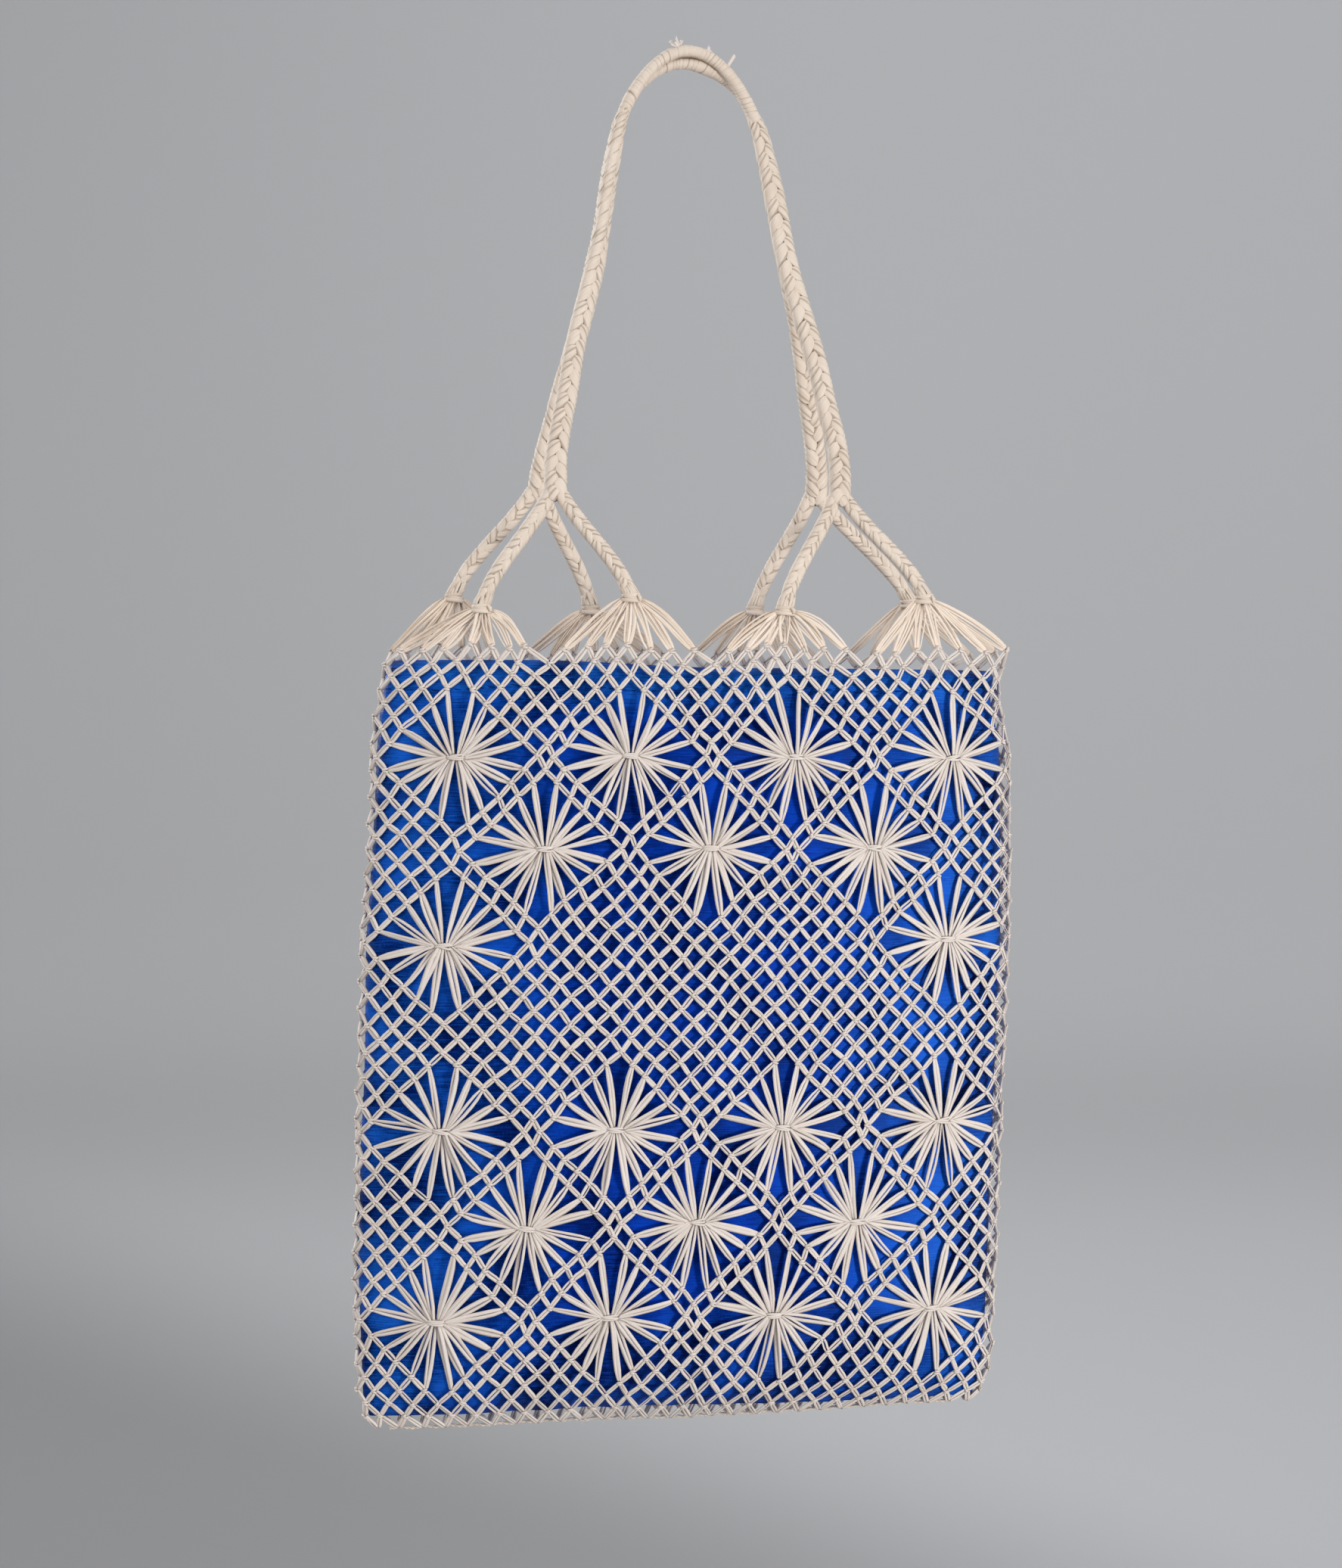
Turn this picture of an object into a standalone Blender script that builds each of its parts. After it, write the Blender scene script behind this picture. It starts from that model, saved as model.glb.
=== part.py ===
"""A knotted raffia net bag over a silk lining, hanging by its two braided handles.

The bag hangs with its front towards -Y. The origin is the hanging point, on the underside of the
lower handle's crown, and everything is in metres. The net and the lining are first laid out flat on
a chart, whose two directions are counted in half cells of the net: columns run round the bag from
the middle of the front, rows run up from the centres of the top row of stars. surface() then bends
the chart round the bag.
"""

from math import acos, atan2, cos, hypot, pi, sin

import bmesh
import bpy
import numpy as np
from mathutils import Vector

# The net, in half cells
SIDE = 28  # columns from the middle of the front to a side fold
ROUND = 4 * SIDE  # columns all the way round
BLOCK = 7  # half cells from a star's centre to the next column or row of stars
TOP = 8  # the top row of knots
BOTTOM = -50  # the row of the bottom points
HEM = -49  # the lowest row of whole cells, where the lining ends
STARS = {0: (7, 21), -7: (0, 14), -14: (21,), -28: (7, 21), -35: (0, 14), -42: (7, 21)}
SPOKE = 0.7  # half the width of the strands that cross a star's window
WINDOW = 5.6  # from a star's centre to the tip of its window
FOLD_LINES = (27,)  # extra columns that round the side folds
HEM_LINES = (-45.5, -47.5)  # extra rows that round the bottom
CROWDING = 0.045  # how much closer the columns lie mid-face than at the folds

# The net's size
ROW_HEIGHT = 0.00693
TOP_Z = -0.306
NET_THICK = 0.0016
SHAPE = {  # row: half width, half depth, sideways shift of the hanging bag
    8: (0.1690, 0.0370, 0.0060),
    5: (0.1715, 0.0370, 0.0050),
    0: (0.1740, 0.0365, 0.0035),
    -14: (0.1760, 0.0360, 0.0010),
    -28: (0.1760, 0.0350, -0.0025),
    -38: (0.1750, 0.0330, -0.0060),
    -42: (0.1740, 0.0295, -0.0070),
    -45.5: (0.1730, 0.0250, -0.0073),
    -47.5: (0.1715, 0.0200, -0.0076),
    -49: (0.1680, 0.0130, -0.0080),
    -50: (0.1600, 0.0050, -0.0080),
}

# The lining
LINING_GAP = 0.0006  # between the net and the lining
LINING_THICK = 0.0012

# The fans, wraps and legs of one face; each fan gathers seven knots
FANS = {  # number: column of its middle, x and depth of its peak
    1: (-21, -0.1180, 0.0225),
    2: (-7, -0.0400, 0.0330),
    3: (7, 0.0440, 0.0330),
    4: (21, 0.1220, 0.0225),
}
FAN_KNOTS = (-6, -4, -2, 0, 2, 4, 6)  # columns of a fan's knots from its middle
KNOT_FOOT = 0.33  # half the width of a fan's strands at the knot, in half cells
MERGE = 0.85  # share of a fan's height at which its strands lie side by side
NECK_WIDTH, NECK_DEPTH = 0.0084, 0.0052
PEAK_Z = -0.283
WRAP_WIDTH, WRAP_DEPTH, WRAP_HEIGHT = 0.0098, 0.0072, 0.0054
WRAP_EDGE = 0.82  # width of a wrap's ends as a share of its middle
LEG_WIDTH, LEG_DEPTH = 0.0078, 0.0056
LEG_TIP_WIDTH = 0.0050  # a leg narrows to this at its fork
LEG_LEAVE = (0.22, 0.33, 0.38)  # how a leg's curve leaves its foot, as shares of its x, y and z run
LEG_ARRIVE = (0.28, 0.33, 0.36)  # and how it arrives at its fork
LEG_EASE = 4  # the reciprocal of the share of a leg over which its ends change shape
LEG_STEPS = 8

# The handles: fork and crown positions along the strap's centre line
HANDLES = {  # name: depth side, fork z, crown z, depth at the crown, radius of the arch
    "front": (-1, -0.226, 0.0110, 0.0020, 0.0390),
    "back": (1, -0.222, 0.0036, 0.0020, 0.0365),
}
FORK_X = 0.0755
FORK_DEPTH = 0.0240
ARCH_END_DEPTH = 0.0058  # depth of a strap where its arch begins
STRAP_WIDTH, STRAP_DEPTH = 0.0104, 0.0070
CORE_RADIUS = 0.0026  # the strap pressed round under its whipping
WHIP_INNER, WHIP_OUTER = 0.0030, 0.0037
WHIP_TAIL = 0.008  # length of whipping below each end of the arch
WHIP_SHOULDER = 0.004  # length over which the strap is pressed round below that
STRAP_STEPS, ARCH_STEPS = 8, 7

# The bottom cord
CORD_RADIUS = 0.0009
CORD_REACH = 0.150  # from its middle to either end

GAP = 0.0003  # between neighbouring pieces
SIDES = 8  # round the straps, legs and wraps
SMOOTH_ANGLE = 0.7

RAFFIA = (0.77, 0.65, 0.52, 1)
RAFFIA_WARM = (0.73, 0.60, 0.46, 1)
SILK_BLUE = (0.004, 0.050, 0.370, 1)


def clear_scene():
    for old in list(bpy.data.objects):
        bpy.data.objects.remove(old)


def material(name, colour, roughness):
    made = bpy.data.materials.new(name)
    made.use_nodes = True
    shader = made.node_tree.nodes["Principled BSDF"]
    shader.inputs["Base Color"].default_value = colour
    shader.inputs["Roughness"].default_value = roughness
    shader.inputs["Metallic"].default_value = 0.0
    return made


def add_object(name, points, faces, finish):
    """One closed body from points and faces, its faces turned outwards."""
    mesh = bpy.data.meshes.new(name)
    mesh.from_pydata([tuple(p) for p in points], [], faces)
    body = bmesh.new()
    body.from_mesh(mesh)
    bmesh.ops.recalc_face_normals(body, faces=body.faces)
    body.to_mesh(mesh)
    body.free()
    mesh.shade_smooth()
    mesh.set_sharp_from_angle(angle=SMOOTH_ANGLE)
    mesh.materials.append(finish)
    made = bpy.data.objects.new(name, mesh)
    bpy.context.scene.collection.objects.link(made)
    return made


# The chart and the bag's surface


def front_column(column):
    """The column on the front that faces this one, or the column itself on the front."""
    return column if column <= SIDE else 2 * SIDE - column


def ellipse_turns():
    """Angles round a quarter of the widest section, and the share of its length up to each."""
    half_width, half_depth, _ = SHAPE[-14]
    angle = np.linspace(0, pi / 2, 181)
    x, y = half_width * np.sin(angle), half_depth * np.cos(angle)
    length = np.concatenate([[0], np.cumsum(np.hypot(np.diff(x), np.diff(y)))])
    return angle, length / length[-1]


TURN_ANGLE, TURN_SHARE = ellipse_turns()


def shape_at(row):
    """Half width, half depth and sideways shift of the bag at a row."""
    rows = sorted(SHAPE)
    return [np.interp(row, rows, [SHAPE[r][i] for r in rows]) for i in range(3)]


def surface(column, row, inset, floor=None):
    """A point of the bag's wall, inset from its outside; the row called floor is also raised."""
    half_width, half_depth, shift = shape_at(row)
    across = front_column(column) / SIDE
    share = abs(across) * (1 - CROWDING + CROWDING * across**2)
    angle = np.copysign(np.interp(share, TURN_SHARE, TURN_ANGLE), across)
    side = -1 if column <= SIDE else 1
    x = shift + (half_width - inset) * sin(angle)
    y = side * (half_depth - inset) * cos(angle)
    z = TOP_Z + (row - TOP) * ROW_HEIGHT
    return Vector((x, y, z + (inset if row == floor else 0)))


def has_star(column, row):
    return abs(front_column(column)) in STARS.get(row, ())


def half_block(corner, across, up, windowed):
    """Chart faces of the half block at a corner, with a quarter of a star's window in it."""
    column, row = corner
    side, above = (column + across * BLOCK, row), (column, row + up * BLOCK)
    if not windowed:
        return [(corner, side, above)]
    near = (column + across * SPOKE, row + up * SPOKE)
    far_side = (column + across * (WINDOW - SPOKE), row + up * SPOKE)
    far_above = (column + across * SPOKE, row + up * (WINDOW - SPOKE))
    return [
        (corner, side, far_side, near),
        (side, above, far_above, far_side),
        (above, corner, near, far_above),
    ]


def wall_faces(with_windows):
    """The blocks of the net from its lowest whole cells to the knots under its top row."""
    faces = []
    for left in range(-SIDE, ROUND - SIDE, BLOCK):
        for low in range(HEM, TOP - 1, BLOCK):
            for across, up in ((1, 1), (1, -1), (-1, 1), (-1, -1)):
                corner = (left if across > 0 else left + BLOCK, low if up > 0 else low + BLOCK)
                if (sum(corner) // BLOCK) % 2:
                    windowed = with_windows and has_star(*corner)
                    faces += half_block(corner, across, up, windowed)
    return faces


def edge_strips():
    """The net's top row, which stands only under the fans, and the row down to its points."""
    foot = FAN_KNOTS[-1] + KNOT_FOOT
    faces = []
    for left in range(-SIDE, ROUND - SIDE, BLOCK):
        right = left + BLOCK
        faces.append(((left, BOTTOM), (right, BOTTOM), (right, HEM), (left, HEM)))
        if (left // BLOCK) % 2:
            top_left, top_right = left, left + foot
        else:
            top_left, top_right = right - foot, right
        faces.append(((left, TOP - 1), (right, TOP - 1), (top_right, TOP), (top_left, TOP)))
    return faces


def chart_triangles(faces, fold_lines, hem_lines):
    """The faces cut along extra columns and rows and split into triangles of (column, row)."""
    chart = bmesh.new()
    for face in faces:
        chart.faces.new([chart.verts.new((column, row, 0)) for column, row in face])
    bmesh.ops.remove_doubles(chart, verts=chart.verts, dist=0.01)
    cuts = [(row, Vector((0, 1, 0))) for row in hem_lines]
    for line in fold_lines:
        for column in (-line, line, 2 * SIDE - line, 2 * SIDE + line):
            cuts.append((column, Vector((1, 0, 0))))
    for place, across in cuts:
        everything = chart.verts[:] + chart.edges[:] + chart.faces[:]
        bmesh.ops.bisect_plane(chart, geom=everything, plane_co=across * place, plane_no=across)
    bmesh.ops.triangulate(chart, faces=chart.faces)
    triangles = [[chart_key(v.co.x, v.co.y) for v in face.verts] for face in chart.faces]
    chart.free()
    return triangles


def chart_key(column, row):
    """A chart point's name, the same at both ends of a row, where the chart meets itself."""
    return (round(float(column) + SIDE, 3) % ROUND - SIDE, round(float(row), 3))


def floor_faces(triangles, floor):
    """Faces that join the front's and the back's lowest row across the bottom."""
    columns = sorted({c for face in triangles for c, r in face if r == floor and c <= SIDE})
    faces = []
    for left, right in zip(columns, columns[1:]):
        corners = [left, right, 2 * SIDE - right, 2 * SIDE - left]
        keys = [chart_key(column, floor) for column in corners]
        faces.append(list(dict.fromkeys(keys)))
    return faces


def thicken(name, faces, outside, inside, finish):
    """A sheet of named points made a closed body between its outside and inside positions."""
    keys = sorted({key for face in faces for key in face})
    number = {key: i for i, key in enumerate(keys)}
    outer = [[number[key] for key in face] for face in faces]
    inner = [[i + len(keys) for i in reversed(face)] for face in outer]
    count = {}
    for face in outer:
        for edge in zip(face, face[1:] + face[:1]):
            count.setdefault(frozenset(edge), []).append(edge)
    rims = [uses[0] for uses in count.values() if len(uses) == 1]
    walls = [[b, a, a + len(keys), b + len(keys)] for a, b in rims]
    points = [outside(key) for key in keys] + [inside(key) for key in keys]
    return add_object(name, points, outer + inner + walls, finish)


def make_net(finish):
    triangles = chart_triangles(wall_faces(True) + edge_strips(), FOLD_LINES, HEM_LINES)
    faces = triangles + floor_faces(triangles, BOTTOM)
    thicken(
        "net_body",
        faces,
        lambda key: surface(*key, 0, BOTTOM),
        lambda key: surface(*key, NET_THICK, BOTTOM),
        finish,
    )


def make_lining(finish):
    """The pouch follows the net's inside, on the same blocks without their windows."""
    outset = NET_THICK + LINING_GAP
    triangles = chart_triangles(wall_faces(False), FOLD_LINES, HEM_LINES)
    faces = triangles + floor_faces(triangles, HEM)
    thicken(
        "lining",
        faces,
        lambda key: surface(*key, outset, HEM),
        lambda key: surface(*key, outset + LINING_THICK, HEM),
        finish,
    )


# Fans, wraps and legs


def fan_column(handle, column):
    """A front column, or the column that faces it on the back."""
    return column if handle == "front" else 2 * SIDE - column


def peak_of(handle, number):
    _, x, depth = FANS[number]
    return Vector((x, HANDLES[handle][0] * depth, PEAK_Z))


def make_fan(handle, number, finish):
    """Seven strands that stand on the net's top row and close up into one neck under the wrap.

    A point's name is its distance from the fan's middle, in half cells, and its share of the
    height. It lies on the straight line from the net's edge to the neck.
    """
    middle = FANS[number][0]
    side = HANDLES[handle][0]
    neck = peak_of(handle, number) - Vector((0, 0, WRAP_HEIGHT / 2 + GAP))
    reach = FAN_KNOTS[-1] + 1

    def place(key, outer):
        along, share = key
        inset = 0 if outer else NET_THICK
        foot = surface(fan_column(handle, middle + along), TOP, inset) + Vector((0, 0, GAP))
        width = along / reach * NECK_WIDTH / 2
        depth = side * NECK_DEPTH / 2 * (1 if outer else -1)
        return foot.lerp(neck + Vector((width, depth, 0)), share)

    faces = []
    for knot in FAN_KNOTS:
        low_left, low_right = (knot - KNOT_FOOT, 0), (knot + KNOT_FOOT, 0)
        left, right = (knot - 1, MERGE), (knot + 1, MERGE)
        faces.append([low_left, low_right, right, left])
        faces.append([left, right, (knot + 1, 1), (knot - 1, 1)])
    name = f"fan_{handle}_{number}"
    thicken(name, faces, lambda key: place(key, True), lambda key: place(key, False), finish)


def ring(centre, across, deep, width, depth, sides=SIDES):
    """Points of an ellipse round a centre, width along across and depth along deep."""
    turns = [2 * pi * (i + 0.5) / sides for i in range(sides)]
    return [centre + across * (width / 2 * cos(t)) + deep * (depth / 2 * sin(t)) for t in turns]


def loft(name, rings, finish, hollow=False):
    """Rings joined in order; a hollow loft also joins its last ring to its first."""
    sides, count = len(rings[0]), len(rings)
    points = [p for one in rings for p in one]
    faces = []
    for i in range(count if hollow else count - 1):
        here, there = i * sides, (i + 1) % count * sides
        for j in range(sides):
            k = (j + 1) % sides
            faces.append([here + j, here + k, there + k, there + j])
    if not hollow:
        faces.append(list(range(sides)))
        faces.append(list(range((count - 1) * sides, count * sides)))
    return add_object(name, points, faces, finish)


X_AXIS, Y_AXIS, Z_AXIS = Vector((1, 0, 0)), Vector((0, 1, 0)), Vector((0, 0, 1))


def make_wrap(handle, number, finish):
    """A low barrel of turns tied round the fan's neck."""
    peak = peak_of(handle, number)
    rings = []
    for height, share in ((-1, WRAP_EDGE), (-0.5, 1), (0.5, 1), (1, WRAP_EDGE)):
        centre = peak + Z_AXIS * (height * WRAP_HEIGHT / 2)
        rings.append(ring(centre, X_AXIS, Y_AXIS, WRAP_WIDTH * share, WRAP_DEPTH * share))
    loft(f"wrap_{handle}_{number}", rings, finish)


def make_leg(handle, number, finish):
    """A braid from a wrap to its fork, on a smooth curve, cut level at both ends.

    The curve is a cubic from foot to tip. Its sections are level ellipses, widened by the lean.
    """
    side, fork_z = HANDLES[handle][:2]
    fork_side = -1 if number <= 2 else 1
    outward = -1 if number in (1, 3) else 1
    foot = peak_of(handle, number) + Z_AXIS * (WRAP_HEIGHT / 2 + GAP)
    tip_x = fork_side * FORK_X + outward * (LEG_TIP_WIDTH / 2 + GAP)
    tip = Vector((tip_x, side * FORK_DEPTH, fork_z - GAP))
    rise = tip - foot
    leave = foot + rise * Vector(LEG_LEAVE)
    arrive = tip - rise * Vector(LEG_ARRIVE)
    rings = []
    for i in range(LEG_STEPS):
        t = i / (LEG_STEPS - 1)
        s = 1 - t
        centre = foot * s**3 + leave * (3 * s * s * t) + arrive * (3 * s * t * t) + tip * t**3
        run = (leave - foot) * (s * s) + (arrive - leave) * (2 * s * t) + (tip - arrive) * (t * t)
        lean = run.length / run.z
        level = min(1, LEG_EASE * t * s)
        taper = LEG_TIP_WIDTH + (LEG_WIDTH - LEG_TIP_WIDTH) * min(1, LEG_EASE * s)
        width = taper * (1 + (lean - 1) * level)
        rings.append(ring(centre, X_AXIS, Y_AXIS, width, LEG_DEPTH))
    loft(f"leg_{handle}_{number}", rings, finish)


# Handles


def right_half(handle):
    """The right half of a strap's centre line from fork to crown, as (x, z, is whipped).

    A straight run from the fork meets the round arch at the point where it touches it.
    """
    _, fork_z, crown_z, _, radius = HANDLES[handle]
    centre_z = crown_z - radius
    span = hypot(FORK_X, fork_z - centre_z)
    touch = atan2(fork_z - centre_z, FORK_X) + acos(radius / span)
    touch_x, touch_z = radius * cos(touch), centre_z + radius * sin(touch)
    run = hypot(FORK_X - touch_x, fork_z - touch_z)
    tight = run - WHIP_TAIL
    bare = np.linspace(0, tight - WHIP_SHOULDER, STRAP_STEPS)
    line = []
    for stop in (*bare, tight):
        share = stop / run
        x, z = FORK_X + (touch_x - FORK_X) * share, fork_z + (touch_z - fork_z) * share
        line.append((x, z, stop == tight))
    for i in range(ARCH_STEPS + 1):
        angle = touch + (pi / 2 - touch) * i / ARCH_STEPS
        line.append((radius * cos(angle), centre_z + radius * sin(angle), True))
    return line


def strap_line(handle):
    """Points of the whole centre line, left fork to right fork, and which are whipped."""
    side, fork_z, crown_z, crown_depth, _ = HANDLES[handle]
    half = right_half(handle)
    whole = [(-x, z, whipped) for x, z, whipped in half] + half[-2::-1]
    arch_z = half[-ARCH_STEPS - 1][1]
    heights, depths = (fork_z, arch_z, crown_z), (FORK_DEPTH, ARCH_END_DEPTH, crown_depth)
    points = [Vector((x, side * np.interp(z, heights, depths), z)) for x, z, _ in whole]
    return points, [whipped for _, _, whipped in whole]


def strap_frames(points):
    """Across and deep directions at each point, square to the line but level at the forks."""
    frames = []
    for i in range(len(points)):
        if i in (0, len(points) - 1):
            along = Z_AXIS if i == 0 else -Z_AXIS
        else:
            along = (points[i + 1] - points[i - 1]).normalized()
        across = along.cross(Y_AXIS).normalized()
        frames.append((across, across.cross(along)))
    return frames


def make_strap(handle, finish):
    points, whipped = strap_line(handle)
    rings = []
    for point, tight, (across, deep) in zip(points, whipped, strap_frames(points)):
        width, depth = (2 * CORE_RADIUS,) * 2 if tight else (STRAP_WIDTH, STRAP_DEPTH)
        rings.append(ring(point, across, deep, width, depth))
    loft(f"strap_{handle}", rings, finish)


def make_whipping(handle, finish):
    """A sleeve round the whipped middle of the strap, open at both ends."""
    points, whipped = strap_line(handle)
    frames = strap_frames(points)
    stations = [i for i, tight in enumerate(whipped) if tight]
    outer = [ring(points[i], *frames[i], 2 * WHIP_OUTER, 2 * WHIP_OUTER) for i in stations]
    inner = [ring(points[i], *frames[i], 2 * WHIP_INNER, 2 * WHIP_INNER) for i in stations]
    loft(f"whipping_{handle}", outer + inner[::-1], finish, hollow=True)


def make_bottom_cord(finish):
    shift = shape_at(BOTTOM)[2]
    z = TOP_Z + (BOTTOM - TOP) * ROW_HEIGHT - GAP - CORD_RADIUS
    rings = []
    for x in (-CORD_REACH, CORD_REACH):
        size = 2 * CORD_RADIUS
        rings.append(ring(Vector((shift + x, 0, z)), Y_AXIS, Z_AXIS, size, size, 8))
    loft("bottom_cord", rings, finish)


def main():
    clear_scene()
    make_net(material("net raffia", RAFFIA, 0.62))
    make_lining(material("lining silk", SILK_BLUE, 0.42))
    make_bottom_cord(material("cord raffia", RAFFIA_WARM, 0.65))
    fan_finish = material("fan raffia", RAFFIA, 0.58)
    wrap_finish = material("wrap raffia", RAFFIA_WARM, 0.6)
    braid_finish = material("braid raffia", RAFFIA, 0.66)
    whip_finish = material("whipping raffia", RAFFIA_WARM, 0.6)
    for handle in HANDLES:
        for number in FANS:
            make_fan(handle, number, fan_finish)
            make_wrap(handle, number, wrap_finish)
            make_leg(handle, number, braid_finish)
        make_strap(handle, braid_finish)
        make_whipping(handle, whip_finish)


main()
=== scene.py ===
"""A knotted raffia net bag over a blue silk lining, hanging by its two braided handles.

The front faces -Y and the origin is the hanging point under the crown of the front handle. Places on
the bag's wall are counted in half cells of the net, as a maker counts them: columns run round the bag
from the middle of the front, rows run up from the centres of the top row of stars.
"""

from functools import partial, reduce
from itertools import product
from math import cos, pi, radians, sin

import bpy
import numpy as np
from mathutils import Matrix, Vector


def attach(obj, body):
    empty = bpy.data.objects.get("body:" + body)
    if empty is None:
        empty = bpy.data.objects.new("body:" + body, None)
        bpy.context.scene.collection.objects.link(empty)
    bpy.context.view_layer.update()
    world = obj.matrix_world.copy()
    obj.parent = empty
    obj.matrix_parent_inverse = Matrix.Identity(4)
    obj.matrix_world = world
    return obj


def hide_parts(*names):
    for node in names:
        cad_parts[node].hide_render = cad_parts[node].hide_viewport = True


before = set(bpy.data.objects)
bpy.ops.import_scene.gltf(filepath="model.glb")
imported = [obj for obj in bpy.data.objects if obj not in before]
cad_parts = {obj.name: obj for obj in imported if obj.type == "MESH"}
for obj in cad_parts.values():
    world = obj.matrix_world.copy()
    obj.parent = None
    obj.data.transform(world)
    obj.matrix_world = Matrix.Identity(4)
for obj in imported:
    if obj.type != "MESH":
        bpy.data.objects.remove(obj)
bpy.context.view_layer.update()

# The net, in half cells
SIDE = 28  # columns from the middle of the front to a side fold
ROUND = 4 * SIDE  # columns all the way round
TOP, HEM, BOTTOM = 8, -49, -50  # top row of knots, last row of knots, row of the points
STARS = {0: (7, 21), -7: (0, 14), -14: (21,), -28: (7, 21), -35: (0, 14), -42: (7, 21)}
STAR_REACH = 6  # from a star's centre to its tips
FAN_MIDDLES = {1: -21, 2: -7, 3: 7, 4: 21}
FAN_REACH = 7  # from a fan's middle to the next fan

# The bag's wall. A curve is a pair: places, and values there
ROW_HEIGHT = 0.00693
TOP_Z = -0.306
OUTLINE = {  # row: left edge, right edge, half depth
    8: (-0.1630, 0.1790, 0.0370),
    6.5: (-0.1640, 0.1745, 0.0370),
    5: (-0.1655, 0.1722, 0.0370),
    3: (-0.1680, 0.1755, 0.0368),
    0: (-0.1695, 0.1790, 0.0365),
    -7: (-0.1715, 0.1795, 0.0362),
    -14: (-0.1750, 0.1785, 0.0360),
    -28: (-0.1775, 0.1745, 0.0350),
    -38: (-0.1790, 0.1715, 0.0330),
    -42: (-0.1780, 0.1700, 0.0300),
    -45.5: (-0.1770, 0.1690, 0.0250),
    -47.5: (-0.1765, 0.1670, 0.0190),
    -49: (-0.1745, 0.1630, 0.0120),
    -50: (-0.1670, 0.1560, 0.0018),
}
OUTLINE_SPREADS = (0.6, 0.6, 0.8)  # rows over which each of its columns is averaged
# How far the net's foot sags, by x
SAG = (-0.17, -0.12, -0.05, 0.0, 0.06, 0.16), (0.0022, 0.0026, 0.0016, 0.0022, 0.0036, 0.0036)
TUCK_RISE = 0.0040  # how far the bottom right turns under
CORNER_PULL = (0.0030, 0, 0.0075)  # how far the top right corner is drawn out and up
CROWDING = 0.045  # how much closer the columns lie mid-face than at the folds
FOLD_WIDTH, FOLD_DEPTH = 0.176, 0.036  # the section on which the columns are paced out
# How far the fans sway the top row, by column as seen from the front
SWAY = (-28, -21, -14, -7, 0, 7, 14, 21, 26, 28), (0, 0.4, -0.9, -0.7, -0.7, -1.1, -1.35, -1.2, 0.3, 0)
BACK_SWAY = (-28, -21, -14, -7, 0, 7, 14, 21, 28), (0, -0.9, -1.9, -1.2, -0.5, -0.6, -0.8, -0.7, 0)

# Strands of the net
STRAND_INSET = 0.0008  # from the wall to the middle of the strands
LEG_WIDTH, LEG_DEPTH, LEG_SPREAD = 0.00164, 0.0006, 0.00084
LEG_STATIONS = np.array([0.0, 0.13, 0.37, 0.63, 0.87, 1.0])
LEG_APART = np.array([0.32, 0.85, 1.0, 1.0, 0.85, 0.32])  # share of the spread at each station
LEG_FULL = np.array([0.70, 0.92, 1.0, 1.0, 0.92, 0.70])  # share of the width at each station
RAY_WIDTH, RAY_DEPTH, RAY_SPREAD = 0.00235, 0.0006, 0.00102
RAY_STATIONS = np.array([0.0, 0.05, 0.20, 0.38, 0.57, 0.76, 0.93, 1.0])
RAY_APART = np.array([0.25, 0.62, 0.95, 1.0, 0.96, 0.80, 0.40, 0.2])
RAY_FULL = np.array([0.5, 0.72, 0.95, 1.0, 1.0, 0.92, 0.70, 0.5])
TIE_HALF_WIDTH, TIE_HALF_DEPTH, TIE_HEIGHT = 0.0042, 0.0017, 0.0034
KNOT_LENGTH, KNOT_HEIGHT, KNOT_DEPTH = 0.0037, 0.0016, 0.0012

# Fans and wraps
PEAKS = {  # x and height of each fan's peak
    "front": ((-0.1154, -0.2855), (-0.0385, -0.2796), (0.0439, -0.2854), (0.1237, -0.2780)),
    "back": ((-0.1216, -0.2779), (-0.0454, -0.2830), (0.0453, -0.2824), (0.1290, -0.2782)),
}
PEAK_DEPTHS = (0.0225, 0.0330, 0.0330, 0.0225)
NECK_WIDTH, NECK_DEPTH = 0.0088, 0.0048
WRAP_WIDTH, WRAP_DEPTH, WRAP_HEIGHT = 0.0100, 0.0072, 0.0056
WRAP_TURNS = (0.27, 0.94, 0.10), (-0.24, 1.0, -0.04), (0.02, 0.90, -0.24)  # height, girth, tilt
WRAP_LUMPS = (1.8, 0.0001, 0.0042, 0.0021), (2.6, 0.0007, 0.0034, 0.0015)  # lean, drop, length, width
FAN_WIDTH, FAN_DEPTH, FAN_SPREAD, FAN_BOW = 0.00145, 0.00042, 0.0019, 0.0020
FAN_STATIONS = np.array([0.0, 0.03, 0.10, 0.21, 0.33, 0.46, 0.59, 0.71, 0.82, 0.91, 0.97, 1.0])
FAN_APART = (0, 0.03, 0.12, 0.30, 0.60, 0.85, 1), (0.30, 0.66, 0.88, 0.98, 1.06, 0.90, 0.40)
FAN_FULL = (0, 0.03, 0.12, 0.5, 0.88, 1), (0.6, 0.85, 1, 1, 0.92, 0.65)

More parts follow.
